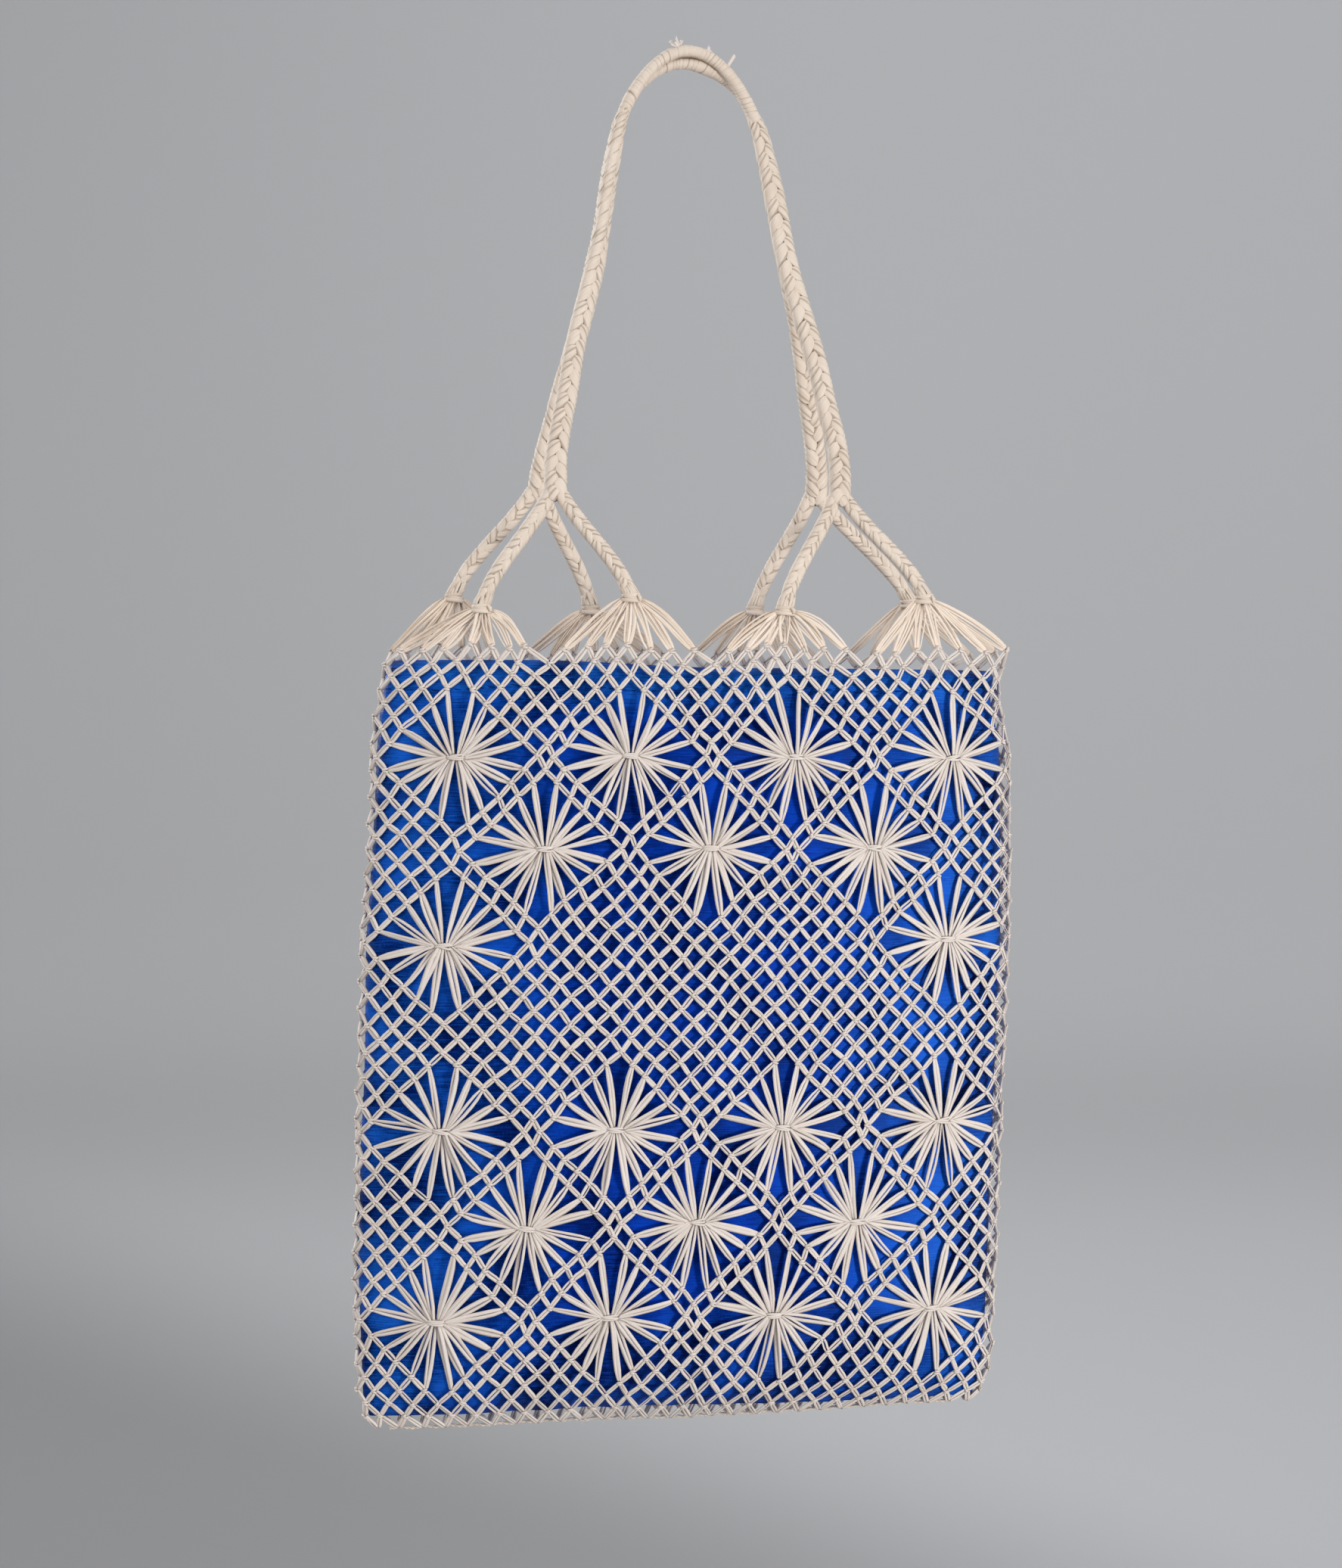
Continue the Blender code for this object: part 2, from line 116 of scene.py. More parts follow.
# Legs and handles
HANDLES = {  # depth side, fork z, crown z, depth at the crown
    "front": (-1, -0.226, 0.0120, 0.0014),
    "back": (1, -0.222, 0.0052, 0.0014),
}
FORK_X, FORK_DEPTH, ARCH_END_DEPTH, ARCH_END_Z = 0.0765, 0.024, 0.0036, -0.030
HANDLE_SPANS = {  # in millimetres: height, left and right of the line down a handle's middle
    "front": (
        (-226, -76.5, 76.5), (-208, -76.2, 77.4), (-195, -73.9, 75.4), (-175, -69.4, 70.5),
        (-155, -66.0, 66.6), (-135, -61.2, 61.0), (-117, -55.8, 55.5), (-100, -51.2, 51.2),
        (-80, -48.0, 47.8), (-60, -44.8, 44.6), (-45, -41.7, 41.4), (-33, -39.2, 38.8),
        (-25, -36.9, 36.3), (-18, -33.6, 32.9), (-13, -31.0, 30.4), (-8, -28.0, 27.8),
        (-1, -22.7, 22.8), (3, -18.9, 18.4), (7, -14.5, 13.7), (9.8, -9.8, 9.3),
        (11.6, -4.0, 3.8),
    ),
    "back": (
        (-222, -76.0, 77.0), (-205, -73.7, 77.2), (-191, -70.1, 75.0), (-170, -65.0, 70.8),
        (-151, -59.6, 68.1), (-131, -54.6, 64.6), (-113, -50.3, 60.2), (-97, -47.0, 56.4),
        (-78, -44.2, 52.6), (-58, -41.8, 49.0), (-43, -39.4, 44.6), (-31, -37.4, 41.4),
        (-24, -35.5, 38.0), (-17, -32.6, 34.6), (-11, -29.6, 31.0), (-6, -25.6, 27.4),
        (-1, -19.6, 20.8), (1.6, -15.8, 14.6), (4.2, -11.4, 7.6), (5.7, -6.0, 2.4),
    ),
}
LEG_LEAVE, LEG_ARRIVE = (0.22, 0.33, 0.38), (0.28, 0.33, 0.36)  # how directly a leg leaves and arrives
BRAID_WIDTH, BRAID_DEPTH, BRAID_SPACING = 0.0106, 0.0064, 0.0084
SMALL_BRAID_WIDTH, SMALL_BRAID_DEPTH, SMALL_BRAID_SPACING = 0.0077, 0.0052, 0.0079
LEAF_SLOPE, LEAF_THICK, LEAF_SIDES = 0.80, 0.085, 12
LEAF_STATIONS = np.array([0, 0.02, 0.07, 0.14, 0.22, 0.31, 0.41, 0.51, 0.62, 0.73, 0.84, 0.93, 0.98, 1])
WHIP_RADIUS, WHIP_PITCH, WHIP_END_Z, WHIP_SIDES = 0.0035, 0.0026, -0.026, 14
STRAP_ROLL = {  # by height, how far a strap's left and right runs are rolled
    ("front", "left"): ((-0.22, -0.14, -0.103, -0.086, -0.03), (0.0, 0.10, 0.50, 1.15, 1.35)),
    ("front", "right"): ((-0.22, -0.18, -0.10, -0.03), (0.0, 0.10, 0.22, 0.22)),
    ("back", "left"): ((-0.22, -0.14, -0.103, -0.086, -0.03), (0.0, 0.10, 0.40, 1.05, 1.25)),
    ("back", "right"): ((-0.22, -0.16, -0.10, -0.03), (0.0, 0.0, 0.2, 0.2)),
}
STRAP_SIZE = {  # by height, the share of their full size
    ("front", "left"): ((-0.20, -0.14, -0.086, -0.045, -0.030), (1.05, 1.0, 1.04, 1.08, 0.92)),
    ("front", "right"): ((-0.20, -0.17, -0.12, -0.060, -0.030), (1.05, 1.04, 1.14, 1.12, 0.78)),
    ("back", "left"): ((-0.20, -0.14, -0.086, -0.045, -0.030), (1.05, 1.0, 1.04, 1.08, 0.92)),
    ("back", "right"): ((-0.20, -0.17, -0.12, -0.060, -0.030), (1.05, 1.02, 0.94, 0.90, 0.74)),
}

# The lining
LINING_TOP = 7.15
LINING_INSET, LINING_THICK = 0.0030, 0.0006
LINING_SHORT_RIGHT = 0.0018  # how far its right edge stays inside the net's fold
LINING_COLUMNS, LINING_ROWS = 160, 88
HEM_LEAN = 0.0035  # how far the top edge leans in
STITCH_ROW, STITCH_STEP, STITCH_THICK = 5.1, 0.92, 0.00048
STITCHES_OVER = 0.45  # the share of stitches that pass over the net's strands

# The cord through the bottom points, and the loose ends
CORD_LEFT, CORD_RIGHT, CORD_THICK = -0.160, 0.147, 0.0009
CORD_TURN, CORD_RADIUS = 0.0062, 0.00042  # the length of one turn of its strands, and their circle's radius
LONE_WISPS, TUFTS = 130, 26  # knots with a couple of loose fibres, and knots with a tuft
CUT_ENDS = (  # foot, directions, length, width and curl of the cut strands at the crown
    (
        (-0.0052, -0.0020, 0.0128),
        ((-0.9, -0.2, 0.20), (-0.9, 0.1, 0.45), (-0.7, -0.3, 0.7), (-0.8, 0.3, 0.3)),
        0.0058, 0.0022, 0.5,
    ),
    ((-0.0054, -0.0024, 0.0134), ((-0.5, -0.2, 0.7), (0.3, -0.2, 0.5)), 0.0030, 0.0020, 0.4),
    ((0.0205, -0.0020, 0.0030), ((0.55, 0, 0.9),), 0.0082, 0.0022, 0.02),
    ((0.0098, -0.0022, 0.0120), ((0.5, -0.2, 0.8), (0.9, -0.2, 0.2)), 0.0026, 0.0022, 0.3),
)

dice = np.random.default_rng(14)


# Lines, curves and the wall


def averaged(values, kernel, mode="edge", **padding):
    """Values averaged with their neighbours by a kernel; the mode says how they run on past the ends."""
    padded = np.pad(values, len(kernel) // 2, mode=mode, **padding)
    return np.convolve(padded, kernel / kernel.sum(), mode="valid")


def distances(points):
    """The distance along each line to each of its points."""
    steps = np.linalg.norm(np.diff(points, axis=-2), axis=-1)
    return np.concatenate([0 * steps[..., :1], np.cumsum(steps, -1)], -1)


def ramp(value, low, high):
    """A value's place on the way from low to high, held between 0 and 1."""
    return np.clip((value - low) / (high - low), 0, 1)


def wave(x, length):
    """A sine of x that comes round once every length."""
    return np.sin(x * 2 * pi / length)


def between(start, end, t):
    """Stations on straight lines, at shares t of the way from each start to its end."""
    return start[:, None] + (end - start)[:, None] * t[:, None]


def moved(centres, *moves):
    """Centre lines moved along each direction by its distance at every station."""
    for way, far in moves:
        centres = centres + way[:, None] * far[..., None]
    return centres


def unit(vectors):
    """Vectors divided by their own lengths; one of no length stays as it is."""
    return vectors / np.maximum(np.linalg.norm(vectors, axis=-1, keepdims=True), 1e-12)


def turned(first, second, angle):
    """Two directions turned together by an angle in their own plane."""
    c, s = np.cos(angle)[..., None], np.sin(angle)[..., None]
    return first * c + second * s, second * c - first * s


def smooth_table(table, column, spread):
    """A column of a table at every twentieth of a row, straight between its rows and then averaged."""
    rows = sorted(table)
    fine = np.arange(rows[0] - 4, rows[-1] + 4, 0.05)
    straight = np.interp(fine, rows, [table[r][column] for r in rows])
    return fine, averaged(straight, np.exp(-0.5 * (np.arange(-60, 61) * 0.05 / spread) ** 2))


LEFT_EDGE, RIGHT_EDGE, HALF_DEPTH = (smooth_table(OUTLINE, *column) for column in enumerate(OUTLINE_SPREADS))
TURN_ANGLE = np.linspace(0, pi / 2, 721)
TURN_SHARE = distances(np.stack([FOLD_WIDTH * np.sin(TURN_ANGLE), FOLD_DEPTH * np.cos(TURN_ANGLE)], 1))
TURN_SHARE /= TURN_SHARE[-1]


def wrap_column(column):
    """A column number less whole rounds, so it lies within one round from the fold at -SIDE."""
    return (np.asarray(column, float) + SIDE) % ROUND - SIDE


def wall(column, row, inset=0.0, short_right=0.0):
    """Points of the wall: an ellipse at each row, paced out in columns, pulled in by the inset.

    The ellipse spans the outline's edges at that row. The back mirrors the front.
    """
    column, row, inset = np.broadcast_arrays(wrap_column(column), row, inset)
    back = column > SIDE
    across = np.where(back, 2 * SIDE - column, column) / SIDE
    share = np.abs(across) * (1 - CROWDING + CROWDING * across**2)
    angle = np.sign(across) * np.interp(share, TURN_SHARE, TURN_ANGLE)
    left, depth = np.interp(row, *LEFT_EDGE), np.interp(row, *HALF_DEPTH)
    right = np.interp(row, *RIGHT_EDGE) - short_right
    x = (left + right) / 2 + ((right - left) / 2 - inset) * np.sin(angle)
    y = np.where(back, 1, -1) * np.maximum(depth - inset, 0.0004) * np.cos(angle)
    z = TOP_Z + (row - TOP) * ROW_HEIGHT - np.interp(x, *SAG) * ramp(row, -32, -48)
    return np.stack([x, y, z], -1)


def wall_directions(column, row):
    """Unit directions round, up and out of the wall, from small steps either way."""
    step = 0.2
    round_way = unit(wall(column + step, row) - wall(column - step, row))
    up_way = unit(wall(column, row + step) - wall(column, row - step))
    return round_way, up_way, unit(np.cross(round_way, up_way))


# Strand meshes. Every corner carries its lay, which is the distance along the strand, the distance
# across it and the strand's tone, and its edge, which is 0 on the crown of a strand and 1 at its side.
# The finishes paint shade by the edge; on the lining the edge marks its painted sheen.


def tile(points, quads, tris, lay, edge):
    """One strand's faces repeated for every strand."""
    strands, size = points.shape[:2]
    shift = (np.arange(strands) * size)[:, None, None]
    return {
        "points": points.reshape(-1, 3),
        "quads": (quads + shift).reshape(-1, 4),
        "tris": (tris + shift).reshape(-1, 3),
        "lay": lay.reshape(-1, 3),
        "edge": edge.reshape(-1),
    }


def ring_quads(stations, sides, closed):
    """Quads between rings of corners, the last ring joined to the first if closed."""
    ring = np.arange(sides)
    after = (ring + 1) % sides
    low = np.arange(stations if closed else stations - 1)[:, None] * sides
    high = (low + sides) % (stations * sides)
    return np.stack([low + ring, low + after, high + after, high + ring], -1).reshape(-1, 4)


def closed_tubes(rings, tips, along, sideways, edge, tone):
    """Tubes through rings of corners, strands × stations × sides, closed to a point at both ends."""
    strands, stations, sides = rings.shape[:3]
    points = np.concatenate([tips[:, :1], rings.reshape(strands, -1, 3), tips[:, 1:]], 1)
    tip = stations * sides + 1
    lay, edges = np.zeros((strands, tip + 1, 3)), np.ones((strands, tip + 1))
    lay[..., 0] = np.concatenate([along[:, :1], np.repeat(along[:, 1:-1], sides, 1), along[:, -1:]], 1)
    lay[:, 1:-1, 1] = np.broadcast_to(sideways, rings.shape[:3]).reshape(strands, -1)
    lay[..., 2] = np.reshape(tone, (-1, 1))
    edges[:, 1:-1] = np.broadcast_to(edge, rings.shape[:3]).reshape(strands, -1)
    ring = np.arange(sides)
    after, last = (ring + 1) % sides, tip - sides
    first_fan = np.stack([0 * ring, after + 1, ring + 1], 1)
    last_fan = np.stack([tip + 0 * ring, last + ring, last + after], 1)
    tris = np.concatenate([first_fan, last_fan])
    return tile(points, ring_quads(stations, sides, False) + 1, tris, lay, edges)


def sections(centres, across, deep, widths, depths, sides):
    """Oval rings round centre lines: their corners, how far to the side each one lies, and its edge.

    A ring is centre + across · width/2 · cos t + deep · depth/2 · sin t, strands × stations.
    """
    turns = 2 * pi * (np.arange(sides) + 0.5) / sides
    across, deep = (np.broadcast_to(way, centres.shape)[:, :, None] for way in (across, deep))
    widths, depths = (np.broadcast_to(size, centres.shape[:2])[..., None] for size in (widths, depths))
    sideways, outward = widths / 2 * np.cos(turns), depths / 2 * np.sin(turns)
    rings = centres[:, :, None] + across * sideways[..., None] + deep * outward[..., None]
    return rings, sideways, np.cos(turns) ** 2


def spindle(centres, across, deep, widths, depths, sides, tone):
    """Closed strands from centre lines: pointed at their first and last stations, oval between."""
    rings, sideways, edge = sections(centres, across, deep, widths, depths, sides)
    along = distances(centres) + dice.random((len(centres), 1))
    return closed_tubes(rings[:, 1:-1], centres[:, [0, -1]], along, sideways[:, 1:-1], edge, tone)


def hoop(centres, across, deep, widths, depths, sides, tone):
    """Closed rings of strand: the same sections as a spindle's, the last joined to the first."""
    rings, sideways, edge = sections(centres, across, deep, widths, depths, sides)
    strands, stations = centres.shape[:2]
    along = distances(centres) + dice.random((strands, 1))
    lay = np.stack(np.broadcast_arrays(along[..., None], sideways, np.reshape(tone, (-1, 1, 1))), -1)
    points, edge = rings.reshape(strands, -1, 3), np.broadcast_to(edge, sideways.shape)
    return tile(points, ring_quads(stations, sides, True), np.zeros((0, 3), int), lay, edge)


def joined(parts):
    """Several meshes as one."""
    shift, out = 0, {key: [] for key in parts[0]}
    for part in parts:
        for key, value in part.items():
            out[key].append(value + shift if key in ("quads", "tris") else value)
        shift += len(part["points"])
    return {key: np.concatenate(value) for key, value in out.items()}


def add_piece(name, shape, finish, slot, *nodes):
    """A finished piece from its points and faces, riding on the bag in place of its nodes."""
    mesh = bpy.data.meshes.new(name)
    quads, tris = shape["quads"], shape["tris"]
    mesh.vertices.add(len(shape["points"]))
    mesh.vertices.foreach_set("co", shape["points"].astype(np.float32).ravel())
    corners = np.concatenate([quads.ravel(), tris.ravel()]).astype(np.int32)
    mesh.loops.add(len(corners))
    mesh.loops.foreach_set("vertex_index", corners)
    starts = np.concatenate([np.arange(len(quads)) * 4, len(quads) * 4 + np.arange(len(tris)) * 3])
    mesh.polygons.add(len(starts))
    mesh.polygons.foreach_set("loop_start", starts.astype(np.int32))
    mesh.update(calc_edges=True)
    for label, kind, field in (("lay", "FLOAT_VECTOR", "vector"), ("edge", "FLOAT", "value")):
        numbers = shape[label].astype(np.float32).ravel()
        mesh.attributes.new(label, kind, "POINT").data.foreach_set(field, numbers)
    mesh.validate()
    mesh.shade_smooth()
    mesh.materials.append(finish)
    piece = bpy.data.objects.new(name, mesh)
    bpy.context.scene.collection.objects.link(piece)
    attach(piece, "root")
    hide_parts(*nodes)
    return piece


def add_strands(name, pair, parts, depth, finish):
    """Pieces of the net, one for each part, from two strands of each place.

    Each of the pair is (centres, across, deep, widths, tone), and a part says which places are its own.
    """
    for part, own in parts.items():
        shapes = [spindle(c[own], a[own], d[own], w[own], depth, 5, tone[own]) for c, a, d, w, tone in pair]
        add_piece(f"{name}_{part}", joined(shapes), finish, "net_raffia", "net_body")


def twist(count, t, steady, along):
    """How far each strand is rolled: a random turn, and a random change from end to end."""
    return dice.normal(0, steady, (count, 1)) + dice.normal(0, along, (count, 1)) * (t - 0.5)


def waver(count, t, once, twice):
    """How far each strand strays from a straight line: a random bow, and a random double bow."""
    bow = dice.normal(0, once, (count, 1)) * np.sin(pi * t)
    return bow + dice.normal(0, twice, (count, 1)) * np.sin(2 * pi * t)


# Finishes


def feed(node, values):
    """Set a node's inputs, each to a number, a colour or another node's output."""
    for name, value in values.items():
        if isinstance(value, bpy.types.NodeSocket):
            node.id_data.links.new(value, node.inputs[name])
        else:
            node.inputs[name].default_value = value


def result(kind, values, output=0, **settings):
    """What a new node makes of its inputs, of which at least one is another node's output."""
    tree = next(value.id_data for value in values.values() if isinstance(value, bpy.types.NodeSocket))
    made = tree.nodes.new("ShaderNode" + kind)
    for name, value in settings.items():
        setattr(made, name, value)
    feed(made, values)
    return made.outputs[output]


def maths(operation, *values, clamp=False):
    """The result of one operation on values, kept from 0 to 1 where it is clamped."""
    return result("Math", dict(enumerate(values)), operation=operation, use_clamp=clamp)


def times(first, second, clamp=False):
    """The product of two values."""
    return maths("MULTIPLY", first, second, clamp=clamp)


def weighted(*parts):
    """The sum of several values, each by its share."""
    return reduce(partial(maths, "ADD"), [times(value, share) for value, share in parts])


def ranged(value, low, high, to_low=0.0, to_high=1.0, kind="LINEAR"):
    """A value's place between two others, held inside them."""
    values = {"Value": value, "From Min": low, "From Max": high, "To Min": to_low, "To Max": to_high}
    return result("MapRange", values, clamp=True, interpolation_type=kind)


def noise(vector, scale, detail, roughness=0.5):
    """Noise of a vector, whose scale is one number or three for the vector's own axes."""
    if isinstance(scale, tuple):
        vector, scale = result("Mapping", {"Vector": vector, "Scale": scale}), 1.0
    values = {"Vector": vector, "Scale": scale, "Detail": detail, "Roughness": roughness}
    return result("TexNoise", values, "Fac", noise_dimensions="3D")


def mixed_colour(amount, first, second):
    """The colour that lies an amount of the way from the first colour to the second."""
    return result("Mix", {"Factor": amount, "A": first, "B": second}, "Result", data_type="RGBA")


def axes(vector):
    """The x, y and z of a vector, as three values."""
    return result("SeparateXYZ", {0: vector}, slice(None))


def carried(tree, name):
    """A number or a vector that the corners carry."""
    made = tree.nodes.new("ShaderNodeAttribute")
    made.attribute_name = name
    return made.outputs["Vector" if name == "lay" else "Fac"]


def object_place(tree):
    """A point's place in its object's own frame."""
    return tree.nodes.new("ShaderNodeTexCoord").outputs["Object"]


def effect(name, colours, numbers, worked):
    """A node group shared by several finishes: named inputs, and a colour, a height and a roughness."""
    tree = bpy.data.node_groups.new(name, "ShaderNodeTree")
    for way, kind, labels in (
        ("INPUT", "Color", colours),
        ("INPUT", "Float", numbers),
        ("OUTPUT", "Color", ("Colour",)),
        ("OUTPUT", "Float", ("Height", "Roughness")),
    ):
        for label in labels:
            tree.interface.new_socket(label, in_out=way, socket_type="NodeSocket" + kind)
    outputs = worked(tree, tree.nodes.new("NodeGroupInput").outputs)
    feed(tree.nodes.new("NodeGroupOutput"), dict(zip(("Colour", "Height", "Roughness"), outputs)))
    return tree


def fibre(tree, given):
    """Split raffia: fine streaks along the strand, blotches over it, and a tone for each strand.

    The streaks are noise read from the lay, stretched along the strand. The height is the same
    streaks, for the bump. The sides of a strand are painted browner by the fourth power of the edge:
    painted shade where strands meet and in creases.
    """
    along, across, tone = axes(carried(tree, "lay"))
    place = {0: times(along, given["Stretch"]), 1: times(across, given["Fineness"]), 2: times(tone, 37.0)}
    streaks = noise(result("CombineXYZ", place), 1.0, 3.0, 0.6)
    blotches = noise(object_place(tree), 55.0, 2.0)
    amount = weighted((ranged(streaks, 0.38, 0.72), 0.34), (ranged(blotches, 0.45, 0.75), 0.16))
    amount = maths("ADD", amount, times(maths("POWER", tone, 3.0), given["Variety"]), clamp=True)
    colour = mixed_colour(amount, given["Pale"], given["Tan"])
    sides = times(maths("POWER", carried(tree, "edge"), 4.0), given["Edge"], clamp=True)
    # Painted shade: each strand's sides are mixed towards this dark brown by the edge
    return mixed_colour(sides, colour, (0.20, 0.12, 0.065, 1)), streaks, ranged(streaks, 0, 1, 0.40, 0.70)


def weave(tree, given):
    """Slubbed silk: level slubs of uneven thickness over a fine upright grain, in cloudy patches.

    Its raised threads are paler by the edge: a painted sheen where the cloth stands to the light.
    """
    lay = carried(tree, "lay")
    slubs, grain = noise(lay, (80, 1600, 1), 4, 0.6), noise(lay, (2300, 300, 1), 1)
    cloudy = ranged(noise(lay, (30, 24, 1), 2), 0.34, 0.66)
    height = weighted((slubs, 0.60), (grain, 0.16), (cloudy, 0.24))
    # Painted sheen: towards the lining's top, foot and sides the raised threads take the paler colour
    threads = mixed_colour(carried(tree, "edge"), given["Light"], given["PaintedSheen"])
    colour = mixed_colour(ranged(height, 0.36, 0.62), given["Dark"], threads)
    return colour, height, ranged(slubs, 0, 1, 0.36, 0.56)


def new_finish(name, group, values, bump, bump_height, shader_values):
    """A material of one effect with its own values in order, and the effect's height raised a little."""
    made = bpy.data.materials.new(name)
    made.use_nodes = True
    own = made.node_tree.nodes.new("ShaderNodeGroup")
    own.node_tree = group
    feed(own, dict(zip(own.inputs.keys(), values)))
    height = {"Strength": bump, "Distance": bump_height, "Height": own.outputs["Height"]}
    seen = {"Base Color": own.outputs["Colour"], "Roughness": own.outputs["Roughness"]}
    seen["Normal"] = result("Bump", height, "Normal")
    feed(made.node_tree.nodes["Principled BSDF"], seen | shader_values)
    return made


PALE, TAN = (0.82, 0.71, 0.605, 1), (0.54, 0.38, 0.25, 1)
RAFFIAS = {  # pale, tan, fineness, stretch, variety and edge of the fibre, and how strongly it is raised; edge is how much painted shade its sides and creases take
    "net raffia": ((0.83, 0.755, 0.70, 1), (0.58, 0.47, 0.37, 1), 2600, 60, 0.22, 0.36, 0.5),
    "fan raffia": ((0.97, 0.845, 0.725, 1), (0.64, 0.46, 0.31, 1), 2600, 30, 0.30, 0.26, 0.7),
    # The back fans take a warmer copy of the fan raffia: painted light, for the light that shines through
    # them from behind
    "back fan raffia with painted light": ((0.98, 0.84, 0.70, 1), (0.66, 0.47, 0.31, 1), 2600, 30, 0.30, 0.26, 0.7),
    "wrap raffia": (PALE, TAN, 2400, 60, 0.25, 0.40, 0.5),
    "braid raffia": ((0.84, 0.73, 0.622, 1), TAN, 2200, 40, 0.26, 1.0, 0.9),
    "whipping raffia": (PALE, TAN, 3000, 60, 0.12, 0.75, 0.6),
    "cord raffia": (PALE, TAN, 2400, 60, 0.25, 0.45, 0.5),
}
SILKS = {  # dark and light threads, and the paler threads of the painted sheen
    "lining silk": ((0.0002, 0.0003, 0.045, 1), (0.0016, 0.042, 0.44, 1), (0.012, 0.150, 0.64, 1)),
    "stitch thread": ((0.0004, 0.002, 0.02, 1), (0.001, 0.008, 0.07, 1), (0.001, 0.008, 0.07, 1)),
}
FIBRE_HEIGHT, SILK_BUMP, SILK_HEIGHT = 0.0004, 0.45, 0.0005
RAFFIA_SHEEN = {"Sheen Weight": 0.10, "Sheen Roughness": 0.5}
SILK_SHINE = {"Specular IOR Level": 0.40, "Specular Tint": (0.014, 0.17, 1.0, 1), "IOR": 1.9}


def make_finishes():
    """Every finish of the bag by its name."""
    raffias = effect("Raffia fibre", ("Pale", "Tan"), ("Fineness", "Stretch", "Variety", "Edge"), fibre)
    silks = effect("Silk weave", ("Dark", "Light", "PaintedSheen"), (), weave)
    finishes = {}
    for name, (*values, bump) in RAFFIAS.items():
        finishes[name] = new_finish(name, raffias, values, bump, FIBRE_HEIGHT, RAFFIA_SHEEN)
    for name, values in SILKS.items():
        finishes[name] = new_finish(name, silks, values, SILK_BUMP, SILK_HEIGHT, SILK_SHINE)
    return finishes


# The net


def star_centres():
    """Column and row of every star, front and back."""
    front = []
    for row, columns in STARS.items():
        for column in columns:
            front += [(column, row), (-column, row)] if column else [(0, row)]
    return np.array(front + [(2 * SIDE - column, row) for column, row in front], float)


def steps_from(columns, rows, stars):
    """Half cells from each place to each star, across and up."""
    return wrap_column(columns[:, None] - stars[None, :, 0]), rows[:, None] - stars[None, :, 1]


def knot_grid(stars):
    """Every knot's column and row, and a table of their numbers, with -1 where there is none."""
    column, row = np.meshgrid(np.arange(-SIDE, ROUND - SIDE), np.arange(BOTTOM, TOP + 1), indexing="ij")
    across, up = steps_from(column.ravel(), row.ravel(), stars)
    open_place = ((np.abs(across) + np.abs(up)) < STAR_REACH).any(1).reshape(column.shape)
    is_knot = ((column + row) % 2 == 1) & ~open_place
    number = np.full(column.shape, -1)
    number[is_knot] = np.arange(is_knot.sum())
    return column[is_knot], row[is_knot], number


def soft_noise(columns, rows, reach, count=90):
    """A smooth random value at each place: a sum of level waves that meet themselves round the bag."""
    total = np.zeros(len(columns))
    for _ in range(count):
        turns = dice.integers(0, int(ROUND / reach) + 1)
        rise = dice.normal() / reach
        total += np.cos(2 * pi * (columns * turns / ROUND + rows * rise / 2) + dice.uniform(0, 2 * pi))
    return total / np.sqrt(count / 2)


def drawn_places(columns, rows, stars):
    """Where the knots lie once the stars and fans have drawn them about, still in half cells.

    Stars push their edges outwards along the row. Fans sway the top rows sideways, draw them together
    and lift their middles. The hand's unevenness is soft noise.
    """
    across, up = steps_from(columns, rows, stars)
    away = np.abs(across) + np.abs(up)
    near = ramp(away, STAR_REACH + 2, STAR_REACH) * np.abs(across) / np.maximum(away, 1)
    pushed = (near * np.sign(across)).sum(1) * 0.42
    plain = wrap_column(columns)
    offset = plain % (2 * FAN_REACH) - FAN_REACH  # from the middle of the fan above
    high = np.interp(rows, (5, 6, 7, 8), (0, 0.25, 0.9, 1))
    back_sway = -np.interp(2 * SIDE - plain, *BACK_SWAY)
    sway = np.where(plain > SIDE, back_sway, np.interp(plain, *SWAY)) - 0.08 * offset
    loose = np.where(rows <= HEM, 0.5, 1.0) * np.where(rows >= 7, 1.6, 1.0)
    lift = high * 0.22 * np.cos(pi * offset / FAN_REACH)

    def stray():
        return loose * (0.08 * soft_noise(columns, rows, 6) + 0.045 * dice.normal(size=len(columns)))

    column = columns + pushed + high * sway + stray()
    return column, rows + lift + stray()


def tuck(points):
    """The bottom right turns further under: the lowest points there rise a little."""
    near = ramp(points[:, 0], 0, 0.12) * ramp(points[:, 2], -0.694, -0.709)
    return points + np.outer(near, (0, 0, TUCK_RISE))


def corner(points):
    """The top right corner of the net is drawn up and out by the last strands of its fan."""
    near = np.exp(-(((points[:, 0] - 0.179) / 0.011) ** 2)) * ramp(points[:, 2], -0.327, -0.306)
    return points + np.outer(near, CORNER_PULL)


def make_net(finish):
    """Legs, rays, knots and ties on the places where the knots lie."""
    stars = star_centres()
    columns, rows, number = knot_grid(stars)
    column, row = drawn_places(columns, rows, stars)
    depth = STRAND_INSET + 0.0003 * dice.normal(size=len(columns))
    spots = corner(tuck(wall(column, row, np.clip(depth, 0, 0.0018))))
    ways = wall_directions(column, row)
    star_spots = wall(*(stars.T + 0.12 * dice.normal(size=(2, len(stars)))), 0.0002)
    star_ways = wall_directions(*stars.T)

    legs, rays = [], []
    for side, up in product((-1, 1), (-1, 1)):
        beside = wrap_column(columns + side).astype(int) + SIDE
        level = rows + up - BOTTOM
        inside = (level >= 0) & (level <= TOP - BOTTOM)
        other = np.where(inside, number[beside, np.clip(level, 0, TOP - BOTTOM)], -2)
        if up < 0:
            found = np.flatnonzero(other >= 0)
            legs.append(np.stack([found, other[found]], 1))
        found = np.flatnonzero(other == -1)
        across, rise = steps_from(columns[found] + side, rows[found] + up, stars)
        rays.append(np.stack([found, np.argmin(np.abs(across) + np.abs(rise), 1)], 1))
    make_legs(np.concatenate(legs).T, spots, ways[2], finish)
    make_rays(np.concatenate(rays).T, spots, ways[2], star_spots, star_ways, finish)
    make_knots(rows, spots, ways, finish)
    make_ties(star_spots, star_ways, finish)
    return columns, rows, spots, ways[2]


